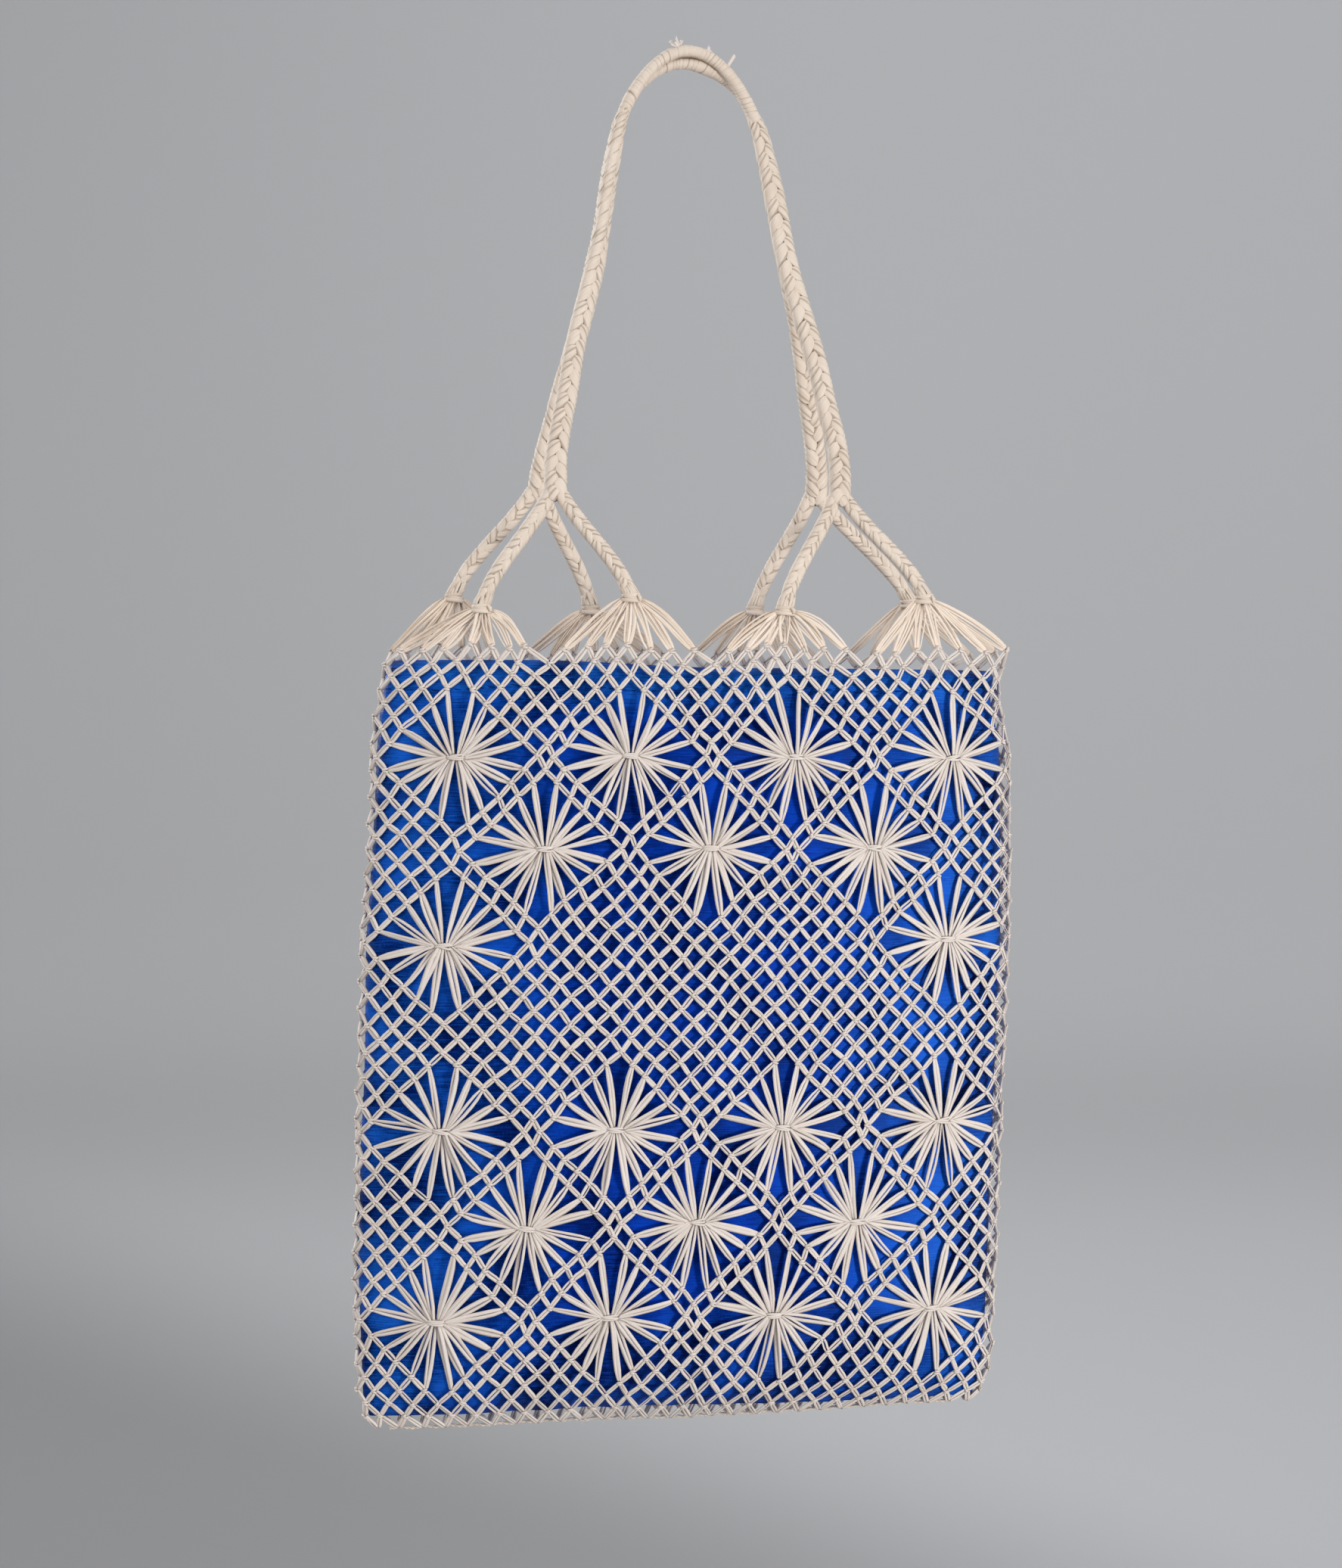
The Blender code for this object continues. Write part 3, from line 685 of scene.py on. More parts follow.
def make_legs(legs, spots, outs, finish):
    """Two flat strands from knot to knot, side by side: they part at once and run nearly level.

    Round the bag's side folds the strands are fuller and twist to lie flat to the front.
    """
    start, end = spots[legs]
    out = unit(outs[legs].sum(0))
    side = unit(np.cross(unit(end - start), out))
    t, count = LEG_STATIONS, len(start)
    fold = ramp(np.abs(out[:, :1]), 0.45, 0.90)
    skew = dice.normal(0, 0.10, (count, 1)) * np.sin(2 * pi * t)
    pair = []
    for which in (-1, 1):
        apart = which * LEG_SPREAD * dice.uniform(0.70, 1.16, (count, 1)) * LEG_APART * (1 + which * skew)
        lift = (0.0002 + 0.0002 * dice.normal(size=(count, 1))) * LEG_APART
        centres = moved(between(start, end, t), (side, apart), (out, lift))
        across, deep = turned(side[:, None], out[:, None], twist(count, t, 0.30, 0.25) + 1.1 * fold)
        width = LEG_WIDTH * dice.uniform(0.84, 1.20, (count, 1)) * LEG_FULL * (1 + 0.30 * fold)
        pair.append((centres, across * which, deep, width, dice.random(count)))
    quarter = 2 * (start[:, 1] > 0) + (start[:, 0] > 0)
    names = ("front_left", "front_right", "back_left", "back_right")
    add_strands("net_legs", pair, {name: quarter == i for i, name in enumerate(names)}, LEG_DEPTH, finish)


def make_rays(rays, spots, outs, star_spots, star_ways, finish):
    """Pairs of broad strands from a star's edge to its tie, laid side by side where they meet.

    A ray ends at its own slot across the tie: the nearer it is to level, the nearer to the tie's end.
    """
    knot, star = rays
    round_way, up_way, out_way = (way[star] for way in star_ways)
    start, centre = spots[knot], star_spots[star]
    out = unit(outs[knot] + out_way)
    x, z = (((start - centre) * way).sum(1) for way in (round_way, up_way))
    lean = x / np.hypot(x, z)
    t, count = RAY_STATIONS, len(knot)
    arch = np.sin(pi * t)
    pair_bow = dice.normal(0, 0.0003, (count, 1)) * arch
    pair = []
    for which in (-1, 1):
        slot = lean * TIE_HALF_WIDTH * 0.86 + which * 0.00030 * np.sqrt(np.maximum(1 - lean**2, 0.05))
        layer = dice.uniform(-1, 1, count) * TIE_HALF_DEPTH * 0.62 * np.sqrt(1 - 0.7 * lean**2)
        offsets = np.stack([slot, -np.sign(z) * 0.0004, layer], 1)
        end = centre + sum(way * far[:, None] for way, far in zip((round_way, up_way, out_way), offsets.T))
        side = unit(np.cross(unit(end - start), out))
        bow = pair_bow + waver(count, t, 0.00022, 0.00018)
        apart = which * RAY_SPREAD * dice.uniform(0.55, 1.12, (count, 1)) * RAY_APART
        lift = 0.0005 * arch + (which * 0.00014 + dice.normal(0, 0.00022, (count, 1))) * RAY_APART
        centres = moved(between(start, end, t), (side, apart + bow), (out, lift))
        across, deep = turned(side[:, None], out[:, None], twist(count, t, 0.22, 0.35))
        width = RAY_WIDTH * dice.uniform(0.68, 1.22, (count, 1)) * RAY_FULL
        pair.append((centres, across, deep, width, dice.random(count)))
    front = start[:, 1] < 0
    add_strands("star_rays", pair, {"front": front, "back": ~front}, RAY_DEPTH, finish)


def make_knots(rows, spots, ways, finish):
    """Each knot is two short bars, one over the other, that bulge outwards over the meeting strands."""
    kept = rows > BOTTOM
    spots, (round_way, up_way, out) = spots[kept], (way[kept] for way in ways)
    count = len(spots)
    t = np.array([0.0, 0.17, 0.5, 0.83, 1.0])
    arch = np.sin(pi * t)
    lean = dice.normal(0, 0.35, count)
    pair = []
    for which in (-1, 1):
        bar, rise = turned(round_way, up_way, lean + which * 0.22 + dice.normal(0, 0.12, count))
        along = KNOT_LENGTH * dice.uniform(0.85, 1.15, (count, 1)) * (t - 0.5)
        high = np.broadcast_to(0.0004 + 0.0005 * arch + which * 0.0001, along.shape)
        centres = moved(spots[:, None] + rise[:, None] * (which * 0.00062), (bar, along), (out, high))
        width = KNOT_HEIGHT * dice.uniform(0.8, 1.15, (count, 1)) * (0.62 + 0.38 * arch)
        pair.append((centres, rise[:, None], out[:, None], width, dice.random(count)))
    front = spots[:, 1] < 0
    add_strands("net_knots", pair, {"front": front, "back": ~front}, KNOT_DEPTH, finish)


def make_ties(star_spots, star_ways, finish):
    """Three turns of strand round each star's middle, each an oval hoop a little tilted."""
    round_way, up_way, out = star_ways
    turns = np.linspace(0, 2 * pi, 22, endpoint=False)
    count = len(star_spots)
    c, s = np.cos(turns), np.sin(turns)
    outward = unit(round_way[:, None] * c[:, None] * 0.4 + out[:, None] * s[:, None])
    facing = np.abs(s)  # 1 at the front and back, 0 at the tie's ends
    shapes = []
    for height in (-1, 0, 1):
        x = TIE_HALF_WIDTH * dice.uniform(0.9, 1.08, (count, 1)) * c
        tilt = dice.normal(0, 0.10, (count, 1)) + 0.07 * height
        y = TIE_HALF_DEPTH * (1.0 - 0.08 * abs(height)) * s + 0 * x
        z = height * TIE_HEIGHT * 0.29 * (0.55 + 0.45 * facing) + tilt * x
        centres = moved(star_spots[:, None], (round_way, x), (out, y), (up_way, z))
        width = TIE_HEIGHT * 0.38 * (0.72 + 0.28 * facing)
        shapes.append(hoop(centres, up_way[:, None], outward, width, 0.0008, 6, dice.random(count)))
    add_piece("star_ties", joined(shapes), finish, "net_raffia", "net_body")


# Fans and wraps


def peak_of(handle, number):
    """A fan's peak: its own x and height, and its own depth on the handle's side of the bag."""
    x, z = PEAKS[handle][number - 1]
    return np.array([x, HANDLES[handle][0] * PEAK_DEPTHS[number - 1], z])


def make_fan(handle, number, net, finish):
    """The long strands from seven knots of the top row to one neck: a flat bundle of five from each.

    Each bundle follows a straight line from knot to neck, bowed outwards towards the fan's right end.
    Its five strands lie side by side, spread most in the middle, and some bundles part in two.
    """
    columns, rows, spots, _ = net
    middle = FAN_MIDDLES[number] if handle == "front" else 2 * SIDE - FAN_MIDDLES[number]
    chosen = np.flatnonzero((rows == TOP) & (np.abs(wrap_column(columns - middle)) < FAN_REACH))
    chosen = chosen[np.argsort(spots[chosen, 0])]
    start = np.repeat(spots[chosen], 5, axis=0)
    rank = np.arange(5 * len(chosen))
    half = (len(chosen) - 1) / 2
    order = (rank // 5 - half) / half  # -1 at the fan's left end, 1 at its right
    place = (rank % 5 - 2) / 2  # -1 to 1 across a bundle
    count = len(rank)
    layer = dice.uniform(-0.75, 0.75, count) * np.sqrt(np.maximum(1 - 0.8 * order**2, 0)) * NECK_DEPTH / 2
    neck = np.stack([order * NECK_WIDTH * 0.44 + place * 0.0004, layer, 0 * layer - 0.0006], 1)
    end = peak_of(handle, number) + neck
    out = np.array([[0.0, HANDLES[handle][0], 0.0]])
    across = unit(np.cross(unit(end - start), out))
    across = across * np.sign(across[:, :1])
    t = FAN_STATIONS
    arch, late = np.sin(pi * t), np.sin(pi * t**1.3)
    bundle_bow = np.repeat(dice.normal(0, 0.0005, len(chosen)), 5)[:, None] * arch
    bow = FAN_BOW * np.where(order > 0, 0.5 if number == 4 else 1, -0.25) * order**2
    apart = place[:, None] * FAN_SPREAD * dice.uniform(0.85, 1.15, (count, 1)) * np.interp(t, *FAN_APART)
    split = np.repeat(np.where(dice.random(len(chosen)) < 0.4, 0.0003, 0.0), 5) * np.sign(place)
    aside = bow[:, None] * late + bundle_bow + apart + split[:, None] * arch
    aside = aside + waver(count, t, 0.00034, 0.00022)
    over = np.where(rank % 2, 0.00010, -0.00010)[:, None]
    bulge = (0.0010 + dice.normal(0, 0.00022, (count, 1)) + over) * arch
    centres = moved(between(start, end, t), (across, aside), (out, bulge))
    wide, thick = turned(across[:, None], out[:, None], twist(count, t, 0.20, 0.3))
    width = FAN_WIDTH * dice.uniform(0.55, 1.45, (count, 1)) * np.interp(t, *FAN_FULL)
    shape = spindle(centres, wide, thick, width, FAN_DEPTH, 6, dice.random(count))
    add_piece(f"fan_strands_{handle}_{number}", shape, finish, "fan_raffia", f"fan_{handle}_{number}")


def make_wrap(handle, number, finish):
    """Three uneven turns of strand tied round a fan's neck, with the small lump that ends them."""
    peak = peak_of(handle, number)
    side = HANDLES[handle][0]
    turns = np.linspace(0, 2 * pi, 30, endpoint=False)
    outward = unit(np.stack([np.cos(turns) * 0.7, np.sin(turns), 0 * turns], 1))[None]
    shapes = []
    for height, girth, tilt in WRAP_TURNS:
        x = WRAP_WIDTH * 0.46 * girth * np.cos(turns)
        y = WRAP_DEPTH * 0.43 * girth * np.sin(turns)
        z = WRAP_HEIGHT * height + (tilt + dice.normal(0, 0.05)) * x
        centres = (peak + np.stack([x, y, z], 1))[None]
        width = WRAP_HEIGHT * dice.uniform(0.40, 0.52) * (0.88 + 0.12 * np.abs(np.sin(turns)))
        shapes.append(hoop(centres, [0.0, 0.0, 1.0], outward, width, 0.0013, 8, dice.random(1)))
    t = np.array([0.0, 0.10, 0.32, 0.68, 0.90, 1.0])
    outward = unit(np.array([0.55, side * 0.85, 0.0]))
    for lean, drop, length, width in WRAP_LUMPS:
        lean = lean + dice.normal(0, 0.12)
        bar = np.array([cos(lean), 0.0, sin(lean)])
        middle = peak + np.array([WRAP_WIDTH * 0.36, side * WRAP_DEPTH * 0.34, drop])
        centres = middle + np.outer((t - 0.5) * length, bar) + np.outer(np.sin(pi * t) * 0.0007, outward)
        across = unit(np.cross(bar, outward))
        shapes.append(spindle(centres[None], across, outward, width, width * 0.8, 8, dice.random(1)))
    name = f"neck_wrap_{handle}_{number}"
    add_piece(name, joined(shapes), finish, "wrap_raffia", f"wrap_{handle}_{number}")


# Braids


def paced(points, step):
    """A line resampled at even steps of its length."""
    along = distances(points)
    stops = np.linspace(0, along[-1], max(4, round(along[-1] / step)))
    return read_along(stops, along, points), stops


def read_along(at, stops, values):
    """Vectors read at distances along a line from their values at its stops."""
    return np.stack([np.interp(at, stops, column) for column in values.T], -1)


def line_frames(points):
    """Directions across a line in the upright plane, and out of that plane."""
    along = unit(np.gradient(points, axis=0))
    across = unit(np.cross(along, [0.0, 1.0, 0.0]))
    return across, unit(np.cross(across, along))


def oval_round(width, depth, fullness=0.85):
    """An oval section by distance round it from the middle of its front, past its right edge to beyond
    its back: distances, places and outward directions, and the distance from front to back."""
    turns = np.linspace(-pi, 2 * pi, 1081)
    x, y = (
        size / 2 * np.sign(turn) * np.abs(turn) ** fullness
        for size, turn in ((width, np.sin(turns)), (-depth, np.cos(turns)))
    )
    places = np.stack([x, y], 1)
    along = distances(places)
    half = along[-1] / 3
    outward = [averaged(slope, np.hanning(61)) for slope in (np.gradient(y), -np.gradient(x))]
    return along - half, places, unit(np.stack(outward, 1)), half


def plait(points, width, depth, spacing, phase, upward, reach, roll=0.0):
    """A flat plait of three bundles along a line, made of the leaves that its bundles show.

    Each leaf is half a turn of a flat bundle: it starts tucked in at the middle of the front, slants
    down over its own side of the plait at LEAF_SLOPE, rounds the edge and ends tucked in at the middle
    of the back. The leaves of the two sides alternate. A leaf's upper edge is raised in front and its
    lower edge behind, and it follows an oval core. The leaves point up the line if upward, and down it
    if not. reach gives the share of the full size from the distances to the line's two ends, and roll
    turns the plait about the line.
    """
    roll = np.broadcast_to(roll, len(points))
    if not upward:
        points, roll = points[::-1], roll[::-1]
    line, stops = paced(points, 0.0015)
    across, deep = turned(*line_frames(line), np.interp(stops, distances(points), roll))
    end = stops[-1]
    size = reach(stops, end - stops) if upward else reach(end - stops, stops)
    thick = width * LEAF_THICK
    around, places, outward, half = oval_round(width - 1.4 * thick, depth - 1.2 * thick)

    order = np.arange(int((end + 1.2 * half / LEAF_SLOPE) / spacing * 2))
    side = np.where(order % 2, 1.0, -1.0)
    start = spacing * (order / 2 + 0.1 + phase) + dice.normal(0, 0.00030, len(order))
    slope = LEAF_SLOPE * (1 + dice.normal(0, 0.05, len(order)))
    first = np.maximum(-0.0009, (start - end) * slope)
    last = np.minimum(half + 0.0006, start * slope)
    kept = last - first > 0.003
    side, start, slope, first, last = (leaf[kept, None, None] for leaf in (side, start, slope, first, last))
    count = len(side)

    t = LEAF_STATIONS[:, None]
    turns = 2 * pi * (np.arange(LEAF_SIDES) + 0.5) / LEAF_SIDES
    angle = np.arctan(slope)
    wide = spacing * np.sin(angle) * 1.20 * dice.uniform(0.93, 1.08, (count, 1, 1))
    taper = np.interp(t, (0, 0.02, 0.10, 0.90, 0.98, 1), (0, 0.55, 1, 1, 0.55, 0))
    aside = np.cos(turns) * wide / 2 * taper
    centre = first + (last - first) * t
    place = centre / half  # 0 at the middle of the front, 1 at the middle of the back
    round_at = centre + aside * np.cos(angle)  # distance round the section
    line_at = start - centre / slope + aside * np.sin(angle)  # distance along the line
    ribbed = (np.sin(turns) > 0.3) & (np.arange(LEAF_SIDES) % 2 == 0)
    creased = ribbed & (dice.random((count, 1, LEAF_SIDES)) < 0.5)
    sink = -0.9 * np.interp(t, (0, 0.05, 0.16, 0.84, 0.95, 1), (1.4, 0.8, 0, 0, 0.8, 1.4))
    crown = np.sin(turns) * 0.5 * np.minimum(taper * 2, 1) * (1 + 0.9 * np.sin(pi * np.clip(place, 0, 1)))
    lean = 0.70 * np.cos(turns) * np.cos(pi * place)
    height = (crown + sink + dice.normal(0, 0.06, (count, 1, 1)) + lean - 0.20 * creased) * thick

    grown = np.interp(line_at, stops, size)
    section = read_along(round_at, around, places) * grown[..., None]
    section = section + read_along(round_at, around, outward) * height[..., None]
    spot, cross, out = (read_along(line_at, stops, ways) for ways in (line, across, deep))
    points = spot + cross * side[..., None] * section[..., :1] + out * section[..., 1:]
    points = np.where(side[..., None] > 0, points, points[:, :, ::-1])
    # Painted shade: a leaf's sides and its creases carry edge and are painted browner, a little less round
    # the back
    edge = np.maximum(np.abs(np.cos(turns)) ** 4, creased * 0.92)
    edge = edge * np.interp(place, (0, 0.16, 0.34), (1, 1, 0.90))
    edge = np.where(side > 0, edge, edge[:, :, ::-1])
    along = (centre / np.sin(angle))[:, :, 0] + dice.random((count, 1))
    tips, body = points[:, [0, -1], 0], slice(1, -1)
    tone = dice.random(count) * 0.4
    leaves = closed_tubes(points[:, body], tips, along, aside[:, body], edge[:, body], tone)
    line, across, deep, size = (values[None, ::2] for values in (line, across, deep, size))
    core = spindle(line, across, deep, (width - 2.2 * thick) * size, (depth - 2 * thick) * size, 12, 0.4)
    # The core shows only in the gaps between leaves: with edge 1 it is painted all in the brown of shade
    core["edge"][:] = 1.0
    return joined([leaves, core])


def leg_line(handle, number):
    """The curve of a leg from its wrap to its fork, running on into the strap's foot."""
    side, fork_z = HANDLES[handle][:2]
    fork_side = -1 if number <= 2 else 1
    outward = -1 if number in (1, 3) else 1
    foot = peak_of(handle, number) + np.array([0, 0, 0.0022])
    tip = np.array([fork_side * FORK_X + outward * 0.0026, side * FORK_DEPTH, fork_z + 0.001])
    leave, arrive = foot + (tip - foot) * np.array(LEG_LEAVE), tip - (tip - foot) * np.array(LEG_ARRIVE)
    t = np.linspace(0, 1, 60)[:, None]
    curve = foot * (1 - t) ** 3 + leave * 3 * (1 - t) ** 2 * t + arrive * 3 * (1 - t) * t**2 + tip * t**3
    return np.concatenate([curve, [tip + np.array([-outward * 0.0024, 0, 0.0065])]])


def handle_line(handle):
    """The line down a handle's middle, from its left fork over the crown to its right fork."""
    side, fork_z, crown_z, crown_depth = HANDLES[handle]
    z, left, right = np.array(HANDLE_SPANS[handle]).T / 1000
    flat = np.stack([np.append(left, right[::-1]), np.zeros(2 * len(z)), np.append(z, z[::-1])], 1)
    line, _ = paced(flat, 0.001)
    kernel = np.exp(-0.5 * (np.arange(-18, 19) / 6) ** 2)
    line = np.stack([averaged(line[:, i], kernel, "reflect", reflect_type="odd") for i in range(3)], 1)
    depths = (FORK_DEPTH, ARCH_END_DEPTH, crown_depth)
    line[:, 1] = side * np.interp(line[:, 2], (fork_z, ARCH_END_Z, crown_z), depths)
    return line


def make_leg(handle, number, finish):
    """A small braid from wrap to fork, and the strands that rise from the wrap into it.

    The plait's points run up the front legs and down the back ones.
    """
    line = leg_line(handle, number)

    def reach(low, high):
        return np.minimum(0.84 + 0.16 * ramp(low, 0, 0.012), np.minimum(0.38 + high / 0.012, 1))

    size = SMALL_BRAID_WIDTH, SMALL_BRAID_DEPTH, SMALL_BRAID_SPACING
    shape = plait(line, *size, number * 0.23, handle == "front", reach)
    near, _ = paced(line, 0.001)
    count = 16
    place = 2 * pi * (np.arange(count) + dice.uniform(-0.3, 0.3, count)) / count
    ring = np.stack([np.cos(place), np.sin(place), 0 * place], 1)
    round_way = np.stack([-np.sin(place), np.cos(place), 0 * place], 1)
    start = near[0] + ring * [0.0043, 0.0030, 0] - [0, 0, 0.0008]
    end = near[dice.integers(4, 9, count)] + ring * [0.0033, 0.0019, 0]
    t = np.array([0.0, 0.12, 0.4, 0.7, 0.92, 1.0])
    centres = moved(between(start, end, t), (ring, 0.0005 * np.sin(pi * t)[None]))
    width = 0.0023 * dice.uniform(0.7, 1.2, (count, 1))
    foot = spindle(centres, round_way[:, None], ring[:, None], width, 0.0009, 6, dice.random(count) * 0.6)
    # These strands take less of the painted shade at their sides
    foot["edge"] *= 0.75
    name = f"leg_braid_{handle}_{number}"
    add_piece(name, joined([shape, foot]), finish, "braid_raffia", f"leg_{handle}_{number}")


def make_strap(handle, finish):
    """The strap's two braided runs, each rolled about its own line; their ends go on into the whipping."""
    line = handle_line(handle)
    middle = len(line) // 2
    shapes = []
    for run, name, phase in ((line[:middle], "left", 0.1), (line[:middle:-1], "right", 0.3)):
        run = run[run[:, 2] < WHIP_END_Z + 0.006]
        run = np.concatenate([[run[0] - (run[1] - run[0]) * 4], run])
        roll = -np.interp(run[:, 2], *STRAP_ROLL[handle, name])
        full = np.interp(run[:, 2], *STRAP_SIZE[handle, name])

        def reach(low, high):
            places = np.linspace(0, max(low[0], low[-1]), len(full))
            foot = np.interp(low, (0, 0.006, 0.012, 0.035), (-0.22, 0.10, 0.10, 0))
            return np.interp(low, places, full) * np.minimum(0.7 + high / 0.02, 1) + foot

        size = BRAID_WIDTH, BRAID_DEPTH, BRAID_SPACING
        shapes.append(plait(run, *size, phase, handle == "front", reach, roll))
    add_piece(f"strap_braid_{handle}", joined(shapes), finish, "braid_raffia", f"strap_{handle}")


def make_whipping(handle, finish):
    """Close turns wound round the crown: a tube whose radius rises and falls once in each turn.

    A turn's place is distance / pitch less the angle round the tube, so the ridges climb as a screw
    does. Each turn has its own height, and a few stand clear of the rest. The grooves are painted
    dark as shade, and so is the side that faces the other handle, as a painted contact shadow.
    """
    line = handle_line(handle)
    line, stops = paced(line[line[:, 2] > WHIP_END_Z], WHIP_PITCH / 9)
    across, deep = line_frames(line)
    turns = 2 * pi * (np.arange(WHIP_SIDES) + 0.5) / WHIP_SIDES
    wander = 0.40 * wave(stops, 0.023) + 0.25 * wave(stops, 0.0091)
    place = (stops / WHIP_PITCH + wander)[:, None] - turns / (2 * pi) + 0.15 * np.sin(turns)
    number = np.floor(place).astype(int)
    share = place - number
    number = number - number.min()
    count = number.max() + 1
    heights = (dice.uniform(-0.045, 0.045, count) + 0.05 * (dice.random(count) < 0.2))[number]
    dark = dice.random(count)[number] > 0.55
    hump = np.clip(np.sin(pi * share), 0, 1) ** 0.4
    ends = ramp(np.minimum(stops, stops[-1] - stops), 0, 0.0018) ** 0.5
    size = WHIP_RADIUS * (0.93 + 0.04 * wave(stops, 0.05)) * (0.55 + 0.45 * ends)
    size = size * np.interp(line[:, 0], (-0.030, 0.030), (0.90, 1.02))
    radius = size[:, None] * (0.99 + 0.07 * hump + heights)
    rings = moved(line[:, None], (across, radius * np.cos(turns)), (deep, radius * np.sin(turns)))
    # Painted shade in the grooves between turns, and a painted contact shadow on the side facing the other
    # handle
    groove = ramp(np.minimum(share, 1 - share), 0.16, 0) ** 0.4 * np.where(dark, 1.0, 0.62)
    facing = np.clip(np.cos(turns - (pi if handle == "front" else 0.0)), 0, 1) ** 1.5
    contact_shade = 1.1 * ramp(np.abs(line[:, 0] - 0.006), 0.0288, 0.0108)[:, None] * facing
    along = np.concatenate([stops[:1], stops, stops[-1:]])[None]
    edge = np.maximum(groove, contact_shade)
    shape = closed_tubes(rings[None], line[None, [0, -1]], along, stops[:, None], edge, 0.4)
    shape["lay"][1:-1, 0] = np.tile(turns * WHIP_RADIUS, len(stops)) + np.repeat(stops, WHIP_SIDES) * 0.3
    add_piece(f"grip_whipping_{handle}", shape, finish, "whipping_raffia", f"whipping_{handle}")


# Cord, stitches and loose ends


def make_bottom_cord(finish):
    """A two-ply cord drawn through the bottom points: two strands turning about one line."""
    x = np.linspace(CORD_LEFT, CORD_RIGHT, 420)
    z = TOP_Z + (BOTTOM - TOP) * ROW_HEIGHT + 0.0003 + 0.0004 * wave(x, 0.0131)
    z = z + TUCK_RISE * ramp(x, 0, 0.12) - np.interp(x, *SAG)
    line = np.stack([x, 0.0006 * wave(x, 0.047), z], 1)
    up, back = np.array([0.0, 0.0, 1.0]), np.array([0.0, 1.0, 0.0])
    shapes = []
    for strand in (0, pi):
        angle = x * 2 * pi / CORD_TURN + strand
        centres = line + CORD_RADIUS * (np.outer(np.cos(angle), back) + np.outer(np.sin(angle), up))
        shapes.append(spindle(centres[None], up, back, CORD_THICK, CORD_THICK, 8, dice.random(1)))
    add_piece("bottom_lacing", joined(shapes), finish, "cord_raffia", "bottom_cord")


def make_stitches(finish):
    """Running stitches that hold the lining to the net: dashes of thread along one row.

    Some pass over the net's strands and the rest lie on the lining between them.
    """
    middles = np.arange(-27.0, ROUND - SIDE, STITCH_STEP)[:, None]
    count = len(middles)
    middles = middles + dice.normal(0, 0.08, (count, 1))
    t = np.array([0.0, 0.1, 0.5, 0.9, 1.0])
    column = middles + dice.uniform(0.52, 0.80, (count, 1)) * (t - 0.5)
    row = STITCH_ROW + 0.24 * np.sin(middles * 0.33) + 0.08 * dice.normal(size=(count, 1)) * (t - 0.5)
    over = dice.random((count, 1)) < STITCHES_OVER
    inset = np.where(over, 0.0002, 0.0020) + np.where(over, 0.0022, 0.0006) * (1 - np.sin(pi * t))
    _, up_way, out = wall_directions(column, row)
    centres = wall(column, row, inset)
    shape = spindle(centres, up_way, out, STITCH_THICK, STITCH_THICK, 5, dice.random(count))
    add_piece("running_stitches", shape, finish, "lining_silk", "lining")


def wisps(spots, outs, count, length, width, spread):
    """Loose fibres from each spot: short arcs that leave it in every direction and droop."""
    fibres = len(spots) * count
    start, out = np.repeat(spots, count, 0), np.repeat(outs, count, 0)
    way = unit(out * 0.35 + dice.normal(size=(fibres, 3)) * spread)
    curl = unit(np.cross(way, dice.normal(size=(fibres, 3)))) * 0.5
    t = np.linspace(0, 1, 6)
    reach = length * dice.uniform(0.4, 1.2, (fibres, 1))
    centres = moved(start[:, None], (way, reach * t), (curl, reach * t**2))
    across = unit(np.cross(unit(way + curl), out + 0.01))
    deep = unit(np.cross(across, unit(way + curl)))
    width = width * dice.uniform(0.5, 1.3, (fibres, 1)) * (1 - 0.5 * t)
    return spindle(centres, across[:, None], deep[:, None], width, width * 0.4, 4, dice.random(fibres))


def cut_ends(foot, ways, length, width, curl):
    """Short cut strands from one foot: each an arc that keeps its width and bends over by the curl."""
    ways = unit(np.array(ways, float))
    count = len(ways)
    t = np.array([0.0, 0.04, 0.3, 0.6, 0.85, 0.97, 1.0])
    aside = np.cross(ways, [0.0, 1.0, 0.0])
    bend = unit(aside) * (curl * dice.uniform(-1, 1, (count, 1)))
    centres = moved(np.array(foot), (ways, (length * t)[None]), (bend, (length * t**2)[None]))
    centres = centres + dice.normal(0, 0.0004, (count, 1, 3))
    across = unit(aside + dice.normal(0, 0.3, (count, 3)))
    deep = unit(np.cross(across, ways))
    return spindle(centres, across[:, None], deep[:, None], width, width * 0.35, 6, dice.random(count) * 0.4)


def make_loose_ends(net, finish):
    """Frayed fibres here and there on the net, and the cut ends of the whipping at the crown."""
    _, _, spots, outs = net
    lone = dice.choice(len(spots), LONE_WISPS, replace=False)
    tufts = dice.choice(len(spots), TUFTS, replace=False)
    parts = [
        wisps(spots[lone], outs[lone], 2, 0.0032, 0.00032, 0.8),
        wisps(spots[tufts], outs[tufts], 6, 0.0034, 0.00040, 0.7),
    ]
    parts += [cut_ends(*ends) for ends in CUT_ENDS]
    add_piece("loose_ends", joined(parts), finish, "net_raffia", "net_body")


# The lining


